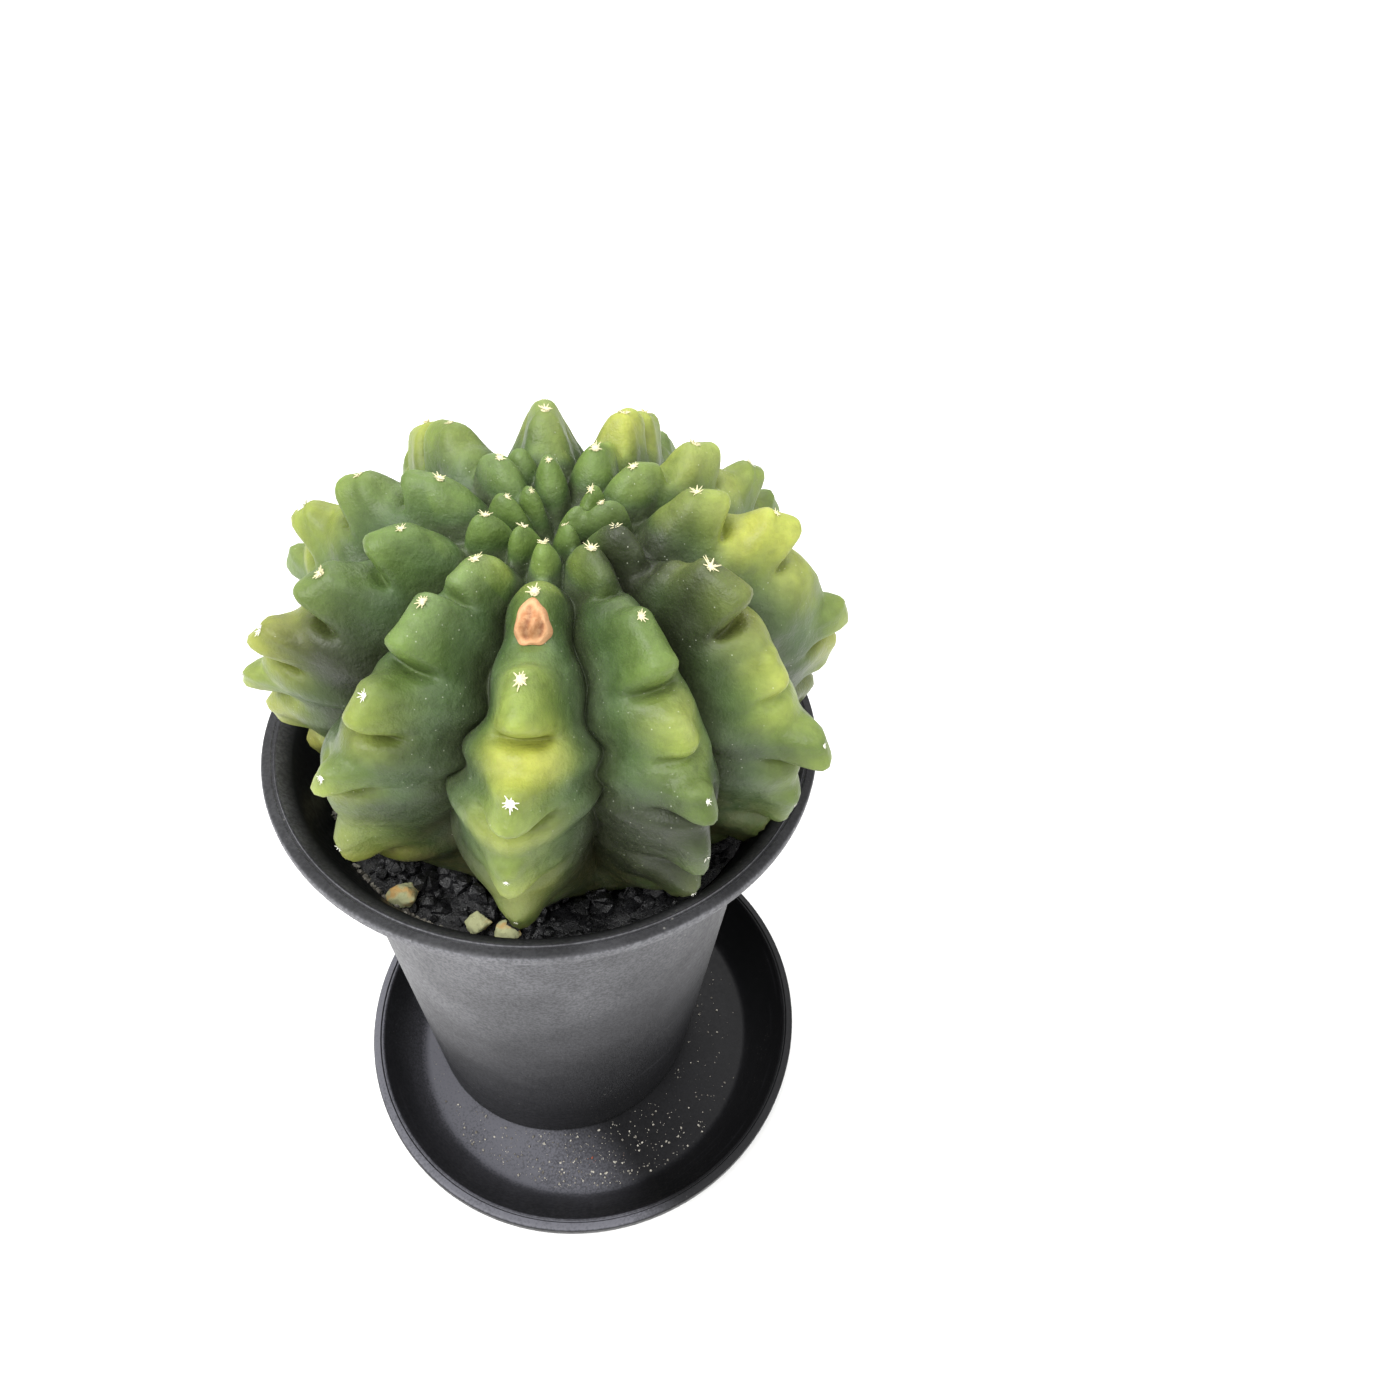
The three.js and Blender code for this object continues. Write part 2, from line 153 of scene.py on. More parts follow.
class StemProps(bpy.types.PropertyGroup):
    offset_x: length("Offset X", "Stem's centre right of the pot's axis", 0.0026)
    offset_y: length("Offset Y", "Stem's centre behind the pot's axis", -0.0009)
    height: length("Centre height", "Widest ring above the pot's foot", 0.1509)
    radius: length("Radius", "Round body under the tubercles, at its widest", 0.0492)
    top: length("Top half", "Height of the body above its widest ring", 0.0307)
    bottom: length("Bottom half", "Depth of the body below its widest ring", 0.0514)
    furrow: length("Furrow depth", "Depth of the furrows between ribs", 0.010)
    knob: length("Knob height", "How far each chin stands out", 0.0050)
    droop: length("Knob droop", "How far each chin hangs over the crease below it", 0.0014)
    brow: length("Brow height", "Height of the broad brow round each areole", 0.0012)
    crease: length("Crease depth", "Depth of the crease under each chin", 0.0031)
    swell: length("Swelling", "Height of the swelling below each crease", 0.0014)
    crown_depth: length("Crown depth", "How far the growing point is sunk", 0.0045)
    egg: length("Young tubercles", "Height of the young tubercles round the crown", 0.0060)
    per_rib: IntProperty(name="Columns per rib", description="Mesh columns across one rib",
                         default=32, min=8, max=40)
    rings: IntProperty(name="Rings", description="Mesh rings from crown to root", default=214,
                       min=60, max=240)
    deep_green: colour("Furrow green", "Skin deep in the furrows", "#414b31")
    green: colour("Flank green", "Skin on the ribs' flanks", "#3b4f2b")
    bright: colour("Bright green", "Skin on swellings and brows", "#72893c")
    yellow: colour("Sunned yellow", "Skin on the most sunned chins", "#b3b04a")
    tan: colour("Old tan", "Old skin near the soil", "#5d5234")
    shaded: colour("Shaded", "Dull skin where little light reaches", "#262a1b")
    bloom: colour("Bloom", "Greyish waxy bloom", "#6f8062")


class WoolProps(bpy.types.PropertyGroup):
    size: length("Tuft size", "Width of a tuft on a grown areole", 0.0022)
    strands: IntProperty(name="Strands", description="Hairs in one tuft", default=10, min=5, max=24)
    white: colour("Weathered wool", "Wool of the old areoles", "#e9e8de")
    cream: colour("Young wool", "Wool of the crown", "#d8cfa6")


class ScarProps(bpy.types.PropertyGroup):
    polar: FloatProperty(name="Polar angle", description="Scar's centre from the crown, degrees",
                         default=30.8)
    long_side: length("Length", "Scar's length along the rib", 0.0070)
    short_side: length("Width", "Scar's width across the rib", 0.0066)
    cork: colour("Cork", "Dry cork", "#a06c44")
    rim: colour("Cork rim", "Pale raised rim", "#c4946a")


class PotProps(bpy.types.PropertyGroup):
    foot: length("Foot radius", "Outside radius at the foot", 0.038)
    wall: length("Wall", "Thickness of the wall", 0.0012)
    collar: length("Collar start", "Height where the straight cone ends", 0.110)
    collar_radius: length("Collar start radius", "Outside radius where the collar starts", 0.045)
    lip: length("Lip width", "Width of the flat lip", 0.0028)
    plastic: colour("Plastic", "Recycled polypropylene", "#161618")
    # The dust colour also paints the pot's light: its paler collar and front left.
    dusty: colour("Dust", "Dry dust on the plastic", "#7c7c80")


class SaucerProps(bpy.types.PropertyGroup):
    floor_radius: length("Floor radius", "Radius of the flat floor", 0.048)
    floor: length("Floor thickness", "Thickness of the floor", 0.0015)
    wall: length("Wall", "Thickness of the wall", 0.0014)
    lip: length("Lip", "Width of the lip", 0.0016)
    plastic: colour("Plastic", "Recycled polypropylene", "#0d0d0e")
    # The dust colour also paints light on the saucer's floor, paler at the front left.
    dusty: colour("Dust", "Dried dust on the floor", "#5a5a60")
    grains: IntProperty(name="Grains", description="Loose grains on the floor", default=560, min=0)


class SoilProps(bpy.types.PropertyGroup):
    below_rim: length("Depth below rim", "Soil's surface below the pot's rim", 0.0146)
    dome: length("Dome", "Rise of the surface towards its middle", 0.0012)
    stones: IntProperty(name="Grit stones", description="Loose stones of crushed lava", default=900,
                        min=0)
    grit: colour("Lava", "Crushed black lava", "#1b1b1d")
    pale: colour("Pale stone", "Pumice with a green film", "#b4b68a")
    ochre: colour("Ochre stone", "Stained side of a pale stone", "#c09a5e")


class StageProps(bpy.types.PropertyGroup):
    lens: FloatProperty(name="Lens", description="Focal length in millimetres", default=22.6)
    back: length("Camera back", "Camera in front of the pot's axis", 0.12633)
    up: length("Camera height", "Camera above the pot's foot", 0.26083)
    pitch: FloatProperty(name="Pitch", description="Camera's look down", subtype="ANGLE",
                         default=0.7872)
    yaw: FloatProperty(name="Yaw", description="Camera's turn to the right", subtype="ANGLE",
                       default=0.2398)
    roll: FloatProperty(name="Roll", description="Camera's tilt", subtype="ANGLE", default=0.1167)
    paper: colour("Floor", "Plain pale floor", "#f4f4f3")


# ---- the skin's shape ---------------------------------------------------------------------
# Each rib: its azimuth from the front (-Y) towards +X, how far it drifts round on its way down,
# then its areoles from the crown down. An areole is (polar angle, size of its chin, angle from
# the areole to the chin's tip).
RIBS = [
    (-146, -4, [(7, 0.8), (17,), (35,), (47,), (68,), (90,), (109, 0.9)]),
    (-110, -4, [(9, 0.8), (22,), (39, 1, 2), (58, 1, 2), (80,), (104,)]),
    (-71, -14, [(13,), (27.5, 1, 3), (43.5, 1.1, 3), (62, 1, 2), (87, 1.1, 2), (101, 0.9, 2),
                (115, 0.8, 2)]),
    (-39, -9, [(9,), (22, 0.9, 3), (34.5, 1.1, 5.5), (53.5, 1, 3), (76, 0.9, 2), (106, 1, 2)]),
    (-9, -3, [(13, 0.8), (25.5, 0.4), (44, 1.25, 5), (67, 1, 4), (93, 0.8), (111, 0.9)]),
    (22, 0, [(6, 0.8), (17,), (35.5, 1.1, 7), (57, 0.4), (75, 1, 3), (95, 0.9), (110, 0.9)]),
    (49, -2, [(15,), (34.5, 1.3, 5), (58, 0.4), (81, 1.4, 3), (102, 0.9), (117, 0.8)]),
    (86.5, 3, [(9.5, 0.9), (27, 1, 3), (44, 1.1, 3), (81, 1.2, 3), (95, 0.9), (108, 0.8)]),
    (119.6, 0, [(9, 0.8), (19,), (34, 1, 3), (55, 1, 2), (71,), (90,), (108, 0.9)]),
    (150, 0, [(19, 1.1), (32, 1, 2), (45, 1, 2), (64,), (87,), (106, 0.9)]),
    (180, 0, [(13,), (28, 1.1, 2), (41, 1, 2), (52,), (72,), (93,), (110, 0.9)]),
]
# Young tubercles between the ribs' beginnings: (azimuth, polar angle, size).
LONE = [(-163, 20, 1.0), (100, 4.5, 0.7)]
SCARRED_RIB = 4

# Patches of skin as (azimuth, polar angle, radius in degrees, strength): yellowed by the sun and
# also painted lighter where the light falls, and painted shade where little light reaches.
SUNNED_AND_LIT = [
    (-12, 17, 6, 0.8), (-8, 57, 10, 0.95), (-12, 78, 12, 0.45), (-9, 99, 10, 0.65),
    (-9, 46, 8, 0.4), (27, 60, 12, 0.45), (50, 66, 13, 0.85), (56, 84, 12, 0.5),
    (90, 44, 24, 0.7), (71, 42, 17, 1.0), (90, 88, 16, 0.6), (-42, 60, 8, 0.5),
    (-46, 82, 8, 0.6), (-72, 64, 12, 0.8), (-76, 88, 12, 0.6), (-48, 108, 12, 0.9),
    (-85, 108, 14, 0.9), (120, 44, 22, 0.35), (146, 33, 17, 0.7), (-110, 60, 16, 0.6),
    (180, 42, 16, 0.35), (-146, 50, 18, 0.5),
]
# Painted shade: dark patches of skin where little light reaches.
PAINTED_SHADE = [
    (19, 92, 16, 1.6), (12, 104, 16, 1.3), (43, 20, 11, 1.3), (44, 38, 10, 1.2),
    (-27, 104, 14, 0.7), (68, 100, 16, 0.8), (-60, 100, 14, 0.8), (-60, 58, 15, 1.0),
    (-36, 94, 10, 0.6), (100, 108, 14, 0.7), (-30, 66, 10, 0.5), (38, 84, 9, 0.6),
]

# Numbers of the skin's formula, in millimetres, degrees from the crown, or shares of a rib's half.
CHIN_LAND = 0.7          # flat run above the areole and below the chin's tip
CHIN_SHARPNESS = 3.0     # how square a chin's shoulders are
CHIN_WIDEST = 0.64       # the widest a chin may be
BROW_WIDTH = 0.58
SWELL_WIDTH = 0.8
YOUNG_UNTIL = 38         # areoles nearer to the crown than this raise an egg there
YOUNG_SHARE = 0.47       # share of the way round the ring that an egg's half width takes
VALLEY = -2.5            # lowest level between the eggs
EGG_SINK = 4.0           # how far the eggs stand in the crown
CROWN_FADE = (17, 30)    # where the eggs give way to the ribs
FURROW_FADE = (118, 142)  # where the furrows run out, down in the soil
CHIN_FADE = (126, 140)    # where the chins run out
# The grown stem leans to the left and to the front, by this share of its height, and its crown is
# tilted up to the right and to the back.
LEAN_LEFT, LEAN_FRONT = 0.022, 0.066
TILT_RIGHT, TILT_BACK = 0.03, 0.04
TILT_FADE = (50, 100)
# The stem keeps this clear of the pot's wall, and bulges again above the rim at this slope.
WALL_GAP, BULGE = 1.1, 1.2
# The sphere that becomes the skin: this share of its rings goes to what shows, down to this angle
# from the crown, and its columns crowd towards the furrows.
SHOWN_RINGS, SHOWN_POLAR, CROWDING = 0.9, 144, 1.45


def bell(x):
    return np.exp(-x * x)


def ramp(x, low, high):
    t = np.clip((x - low) / (high - low), 0, 1)
    return t * t * (3 - 2 * t)


class Areole:
    """One areole with its chin: angles in degrees from the crown."""

    def __init__(self, polar, size=1.0, offset=3.5):
        self.polar, self.size, self.offset = polar, size, offset

    def settle(self, above, below):
        """Works out what depends on the neighbours on the same rib."""
        self.above = self.polar - above.polar if above else 12
        self.below = below.polar - self.polar if below else 18
        self.reach = self.size * min(1, math.sin(math.radians(self.polar)) / 0.5 + 0.12)
        self.tip = self.polar + min(self.offset, 0.36 * self.below)
        self.upper = min(3.3, 0.30 * self.above)
        self.lower = min(3.3, 0.22 * self.below)


class Rib:
    """One rib: its azimuth and its areoles."""

    def __init__(self, azimuth, drift, areoles):
        self.azimuth, self.drift = azimuth, drift
        self.areoles = [Areole(*values) for values in areoles]
        ends = [None, *self.areoles, None]
        for above, areole, below in zip(ends, self.areoles, ends[2:]):
            areole.settle(above, below)

    def at(self, polar):
        """The rib's azimuth at a polar angle: a grown rib leans a little round the stem."""
        return self.azimuth + self.drift * ramp(polar, 45, 110)


class Skin:
    """The stem's surface as a function of rib, place across the rib (-1 to 1) and polar angle."""

    def __init__(self, stem, pot):
        self.mm = {name: getattr(stem, name) / MM for name in (
            "radius", "top", "bottom", "furrow", "knob", "droop", "brow", "crease", "swell",
            "crown_depth", "egg")}
        self.ribs = [Rib(*rib) for rib in RIBS]
        self.centre = np.array([
            POT_AXIS.x + stem.offset_x, POT_AXIS.y + stem.offset_y, POT_LOW.z + stem.height]) / MM
        self.pot = pot
        self.young_ones = self.young()

    def relief(self, rib, u, polar):
        """How far the tubercles of one rib stand out, droop and swell, and where the chins are."""
        out, droop, swell, chin = (np.zeros_like(polar) for _ in range(4))
        mm = self.mm
        for a in rib.areoles:
            low = float(ramp(np.array(a.polar), 50, 90))
            half_width = 14 * math.sin(math.radians(a.polar)) + 1
            narrow = min(CHIN_WIDEST, (3.4 + 1.4 * a.size) / half_width) * (1 - 0.25 * low)
            past = np.maximum(a.polar - CHIN_LAND - polar, polar - a.tip - CHIN_LAND)
            past = np.maximum(0, past) / np.where(polar > a.tip, a.lower, a.upper)
            peg = np.exp(-np.hypot(past, u / narrow) ** CHIN_SHARPNESS)
            lean = np.clip((polar - a.polar) / (a.tip - a.polar), 0, 1)
            knob = peg * (0.84 + 0.16 * lean) * (1 - 0.25 * low) * a.reach
            brow_length = np.where(polar > a.tip, 0.16 * a.below, 0.5 * a.above)
            brow = bell((polar - a.tip) / brow_length) * bell(u / BROW_WIDTH)
            brow = brow * a.reach * (0.5 + 0.5 * low)
            arc = a.tip + a.lower + 1.4 - 0.14 * u * u * a.below
            crease = bell((polar - arc) / min(2.1, 0.10 * a.below))
            crease = crease * bell((u / (0.4 + 0.1 * low)) ** 2) * a.reach
            fat = bell((polar - arc - 0.25 * a.below) / (0.34 * a.below))
            out += mm["knob"] * knob + mm["brow"] * brow - mm["crease"] * (1 - 0.5 * low) * crease
            out += mm["swell"] * fat * bell(u / SWELL_WIDTH) * a.reach
            droop += mm["droop"] * knob * lean
            swell += fat * a.size
            chin = np.maximum(chin, peg * (0.4 + 0.6 * lean))
        return out, droop, swell, chin

    def young(self):
        """The crown's tubercles: azimuth, distance from the axis, half length, half width, size."""
        found = []
        spread = YOUNG_SHARE * 2 * math.pi / len(self.ribs)
        for rib in self.ribs:
            for a in (a for a in rib.areoles if a.polar <= YOUNG_UNTIL):
                radius = self.mm["radius"] * math.sin(math.radians(a.polar + 0.02 * a.below))
                gap = 0.75 * a.below if a is rib.areoles[0] else 0.5 * (a.above + a.below)
                reach = max(2.4, 0.5 * self.mm["radius"] * math.radians(min(gap, 14)))
                found.append((rib.azimuth, radius, reach, max(2.6, spread * radius), a.size))
        for azimuth, polar, size in LONE:
            radius = self.mm["radius"] * math.sin(math.radians(polar))
            found.append((azimuth, radius, 3.6, 3.0, size))
        return found

    def eggs(self, points):
        """Height of the crowded young tubercles: domes that meet in sharp valleys."""
        best = np.full(len(points), VALLEY)
        for azimuth, radius, reach, wide, size in self.young_ones:
            away = np.array([math.sin(math.radians(azimuth)), -math.cos(math.radians(azimuth))])
            beside = np.array([-away[1], away[0]])
            along = points[:, :2] @ away - radius
            stretch = along / (reach * np.where(along > 0, 0.95, 1.1))
            across = points[:, :2] @ beside / (wide * (0.8 + 0.2 * size))
            dome = self.mm["egg"] * (0.75 + 0.25 * size) * (1 - stretch ** 2 - across ** 2)
            best = np.maximum(best, dome)
        return best

    def body(self, azimuth, polar):
        """The bare round body, with its outward and its downhill direction."""
        a, p = np.radians(azimuth), np.radians(polar)
        half = np.where(polar < 90, self.mm["top"], self.mm["bottom"])
        radius = self.mm["radius"] * np.sin(p) ** np.where(polar < 90, 1, 0.8)
        height = half * np.cos(p) - self.mm["crown_depth"] * bell(radius / 9) * (polar < 90)
        out_r, out_z = np.sin(p) / self.mm["radius"], np.cos(p) / half
        size = np.hypot(out_r, out_z)
        out_r, out_z = out_r / size, out_z / size
        x, y = np.sin(a), -np.cos(a)
        point = np.stack([radius * x, radius * y, height], -1)
        out = np.stack([out_r * x, out_r * y, out_z], -1)
        down = np.stack([out_z * x, out_z * y, -out_r], -1)
        return point, out, down

    def furrow_side(self, index, polar):
        """Angles from a rib's middle to the furrows on its left and right."""
        rib = self.ribs[index]
        before = self.ribs[index - 1]
        after = self.ribs[(index + 1) % len(self.ribs)]
        zero = np.zeros_like(polar)
        swell = {id(r): self.relief(r, zero, polar)[2] for r in (before, rib, after)}

        def gap(left, right):
            return (right.at(polar) - left.at(polar)) % 360

        def share(left, right):
            push = np.clip(swell[id(left)] - swell[id(right)], -1, 1)
            return gap(left, right) * (0.5 + 0.075 * push)

        return gap(before, rib) - share(before, rib), share(rib, after)

    def points(self, index, u, polar):
        """Points of the skin in millimetres, with the values that colour it."""
        result = np.zeros((len(polar), 3))
        values = {name: np.zeros(len(polar)) for name in ("ridge", "chin", "swelling", "egg")}
        for k, rib in enumerate(self.ribs):
            mine = index == k
            if not mine.any():
                continue
            across, angle = u[mine], polar[mine]
            left, right = self.furrow_side(k, angle)
            azimuth = rib.at(angle) + across * np.where(across < 0, left, right)
            point, out, down = self.body(azimuth, angle)
            stand, droop, swell, chin = self.relief(rib, across, angle)
            width = np.minimum(1, np.sin(np.radians(angle)) / 0.72) ** 0.7
            bend = 2.3 - 0.9 * ramp(angle, 35, 75)
            side = np.abs(across)
            furrow = self.mm["furrow"] * width * (1 - ramp(angle, *FURROW_FADE))
            furrow = furrow * (0.8 * side ** bend + 0.2 * side ** 5)
            kept = 1 - ramp(angle, *CHIN_FADE)
            crown = 1 - ramp(angle, *CROWN_FADE)
            egg = self.eggs(point)
            rib_height = stand * kept - furrow
            height = rib_height + crown * (egg - EGG_SINK - rib_height)
            point = point + out * height[:, None] + down * (droop * kept * (1 - crown))[:, None]
            result[mine] = point
            on_egg = np.clip(egg / EGG_SINK + 0.1, 0, 1)
            values["ridge"][mine] = np.where(crown > 0.5, on_egg, 1 - side)
            values["chin"][mine] = chin * (1 - crown)
            values["swelling"][mine] = np.clip(swell, 0, 1) * (1 - side ** 2)
            values["egg"][mine] = crown * np.clip(egg / EGG_SINK, 0, 1)
        side, depth, height = result.T.copy()
        result[:, 0] -= LEAN_LEFT * height
        result[:, 1] -= LEAN_FRONT * height
        tilt = TILT_RIGHT * side + TILT_BACK * depth
        result[:, 2] += tilt * (1 - ramp(polar, *TILT_FADE))
        return self.inside_pot(result + self.centre), values

    def inside_pot(self, points):
        """The low tubercles press against the collar, so the skin keeps just inside it."""
        x = points[:, 0] - POT_AXIS.x / MM
        y = points[:, 1] - POT_AXIS.y / MM
        height = points[:, 2] - POT_LOW.z / MM
        above = np.maximum(0, height - POT_HEIGHT / MM)
        wall = pot_radius(self.pot, (height - above) * MM) / MM - self.pot.wall / MM
        inner = np.minimum(wall, (POT_RIM - self.pot.lip) / MM)
        room = inner - WALL_GAP + BULGE * above
        shrink = np.minimum(1, room / np.maximum(1e-6, np.hypot(x, y)))
        points[:, 0] += x * (shrink - 1)
        points[:, 1] += y * (shrink - 1)
        return points

    def spot(self, index, u, polar):
        """One point of the skin in metres, with its outward normal."""
        aside, step = 0.06, 0.4
        ask_u = np.array([u, u - aside, u + aside, u, u])
        ask_polar = np.array([polar, polar, polar, polar - step, polar + step], float)
        found, _ = self.points(np.full(5, index), ask_u, ask_polar)
        here, left, right, above, below = (Vector(p * MM) for p in found)
        return here, (below - above).cross(right - left).normalized()


def pot_radius(pot, height):
    """The pot's outside radius at a height above its foot: a straight cone, then a collar."""
    flare_bend = 1.25
    cone = pot.foot + (pot.collar_radius - pot.foot) * height / pot.collar
    flare = np.maximum(0, (height - pot.collar) / (POT_HEIGHT - pot.collar))
    straight_end = pot.foot + (pot.collar_radius - pot.foot) * POT_HEIGHT / pot.collar
    return cone + (POT_RIM - pot.lip - straight_end) * flare ** flare_bend


# ---- modelling helpers --------------------------------------------------------------------
def deselect_all():
    if bpy.context.object and bpy.context.object.mode != "OBJECT":
        bpy.ops.object.mode_set(mode="OBJECT")
    bpy.ops.object.select_all(action="DESELECT")


def only(*pieces):
    """Selects these pieces alone, the first of them active."""
    deselect_all()
    for piece in pieces:
        piece.select_set(True)
    bpy.context.view_layer.objects.active = pieces[0]


def added():
    """The object that an add operator has just made."""
    return bpy.context.view_layer.objects.active


def apply_modifiers(piece):
    only(piece)
    for modifier in list(piece.modifiers):
        bpy.ops.object.modifier_apply(modifier=modifier.name)


def face_outwards():
    """Turns the faces of the piece in edit mode outwards, and leaves edit mode."""
    bpy.ops.mesh.select_all(action="SELECT")
    bpy.ops.mesh.normals_make_consistent(inside=False)
    bpy.ops.object.mode_set(mode="OBJECT")


def get_points(piece):
    points = np.empty(len(piece.data.vertices) * 3)
    piece.data.vertices.foreach_get("co", points)
    return points.reshape(-1, 3)


def set_points(piece, points):
    piece.data.vertices.foreach_set("co", np.ascontiguousarray(points, dtype=float).ravel())
    piece.data.update()


def paint(piece, name, values):
    """Stores one number per point for the material to read."""
    layer = piece.data.attributes.new(name, "FLOAT", "POINT")
    layer.data.foreach_set("value", np.ascontiguousarray(values, dtype=np.float32))


def settle(piece, name, material, smooth=None, replaces=()):
    """Names a finished piece, puts its place in its mesh, and hangs it on the frame."""
    piece.name = piece.data.name = name
    only(piece)
    bpy.ops.object.transform_apply(location=True, rotation=True, scale=True)
    if smooth is not None:
        bpy.ops.object.shade_smooth_by_angle(angle=math.radians(smooth))
    piece.data.materials.clear()
    piece.data.materials.append(material)
    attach(piece, "root")
    if replaces:
        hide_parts(*replaces)
    return piece


def join(pieces):
    only(*pieces)
    bpy.ops.object.join()
    return added()


def copy_at(source, matrix):
    """A copy of a modelled piece with its own mesh, moved by a matrix."""
    twin = source.copy()
    twin.data = source.data.copy()
    twin.data.transform(matrix)
    bpy.context.collection.objects.link(twin)
    return twin


def around_pot(away, angle):
    """The x and y of a spot at a distance from the pot's axis, by its angle from +X."""
    return POT_AXIS.x + away * math.cos(angle), POT_AXIS.y + away * math.sin(angle)


def remove(*pieces):
    for piece in pieces:
        bpy.data.objects.remove(piece)


def turned(x, y, profile, steps):
    """A round piece drawn up ring by ring: a filled circle is extruded and sized to each ring."""
    deselect_all()
    radius, height = profile[0]
    bpy.ops.mesh.primitive_circle_add(vertices=steps, radius=radius, fill_type="NGON",
                                      location=(x, y, height))
    piece = added()
    bpy.ops.object.mode_set(mode="EDIT")
    bpy.ops.mesh.select_all(action="SELECT")
    for (from_radius, from_height), (to_radius, to_height) in zip(profile, profile[1:]):
        rise = {"value": (0, 0, to_height - from_height)}
        bpy.ops.mesh.extrude_region_move(TRANSFORM_OT_translate=rise)
        scale = to_radius / from_radius
        bpy.ops.transform.resize(value=(scale, scale, 1), center_override=(x, y, to_height))
    face_outwards()
    return piece


def rounded(corner, radius, start, end, steps=5):
    """Points of an arc about a corner's centre, from one angle to another in degrees."""
    angles = [math.radians(start + (end - start) * k / steps) for k in range(steps + 1)]
    return [(corner[0] + radius * math.cos(a), corner[1] + radius * math.sin(a)) for a in angles]


def rough_stone(rng, size, cuts, subdivisions=1):
    """A broken stone: a low ball with its corners moved and a few flat breaks cut off."""
    deselect_all()
    bpy.ops.mesh.primitive_ico_sphere_add(subdivisions=subdivisions, radius=size / 2)
    stone = added()
    points = get_points(stone)
    for k in range(len(points)):
        points[k] *= rng.uniform(0.78, 1.12)
    points *= np.array([rng.uniform(1.0, 1.25), rng.uniform(0.8, 1.0), rng.uniform(0.62, 0.85)])
    set_points(stone, points)
    bpy.ops.object.mode_set(mode="EDIT")
    for _ in range(cuts):
        bpy.ops.mesh.select_all(action="SELECT")
        way = Vector((rng.uniform(-1, 1), rng.uniform(-1, 1), rng.uniform(-1, 1))).normalized()
        bpy.ops.mesh.bisect(plane_co=way * size * rng.uniform(0.26, 0.36), plane_no=way,
                            use_fill=True, clear_outer=True)
    face_outwards()
    return stone


def turned_any_way(rng):
    """A random rotation as a matrix."""
    spin = Matrix.Rotation(rng.uniform(0, 2 * math.pi), 4, "Z")
    tip = Matrix.Rotation(rng.uniform(-0.7, 0.7), 4, "X")
    return tip @ spin @ Matrix.Rotation(rng.uniform(-0.7, 0.7), 4, "Y")


def scattered(rng, bases, spot, size):
    """One of the base stones at a spot and a size, turned at random."""
    base = rng.choice(bases)
    place = Matrix.Translation(spot) @ turned_any_way(rng)
    return copy_at(base, place @ Matrix.Scale(size, 4))


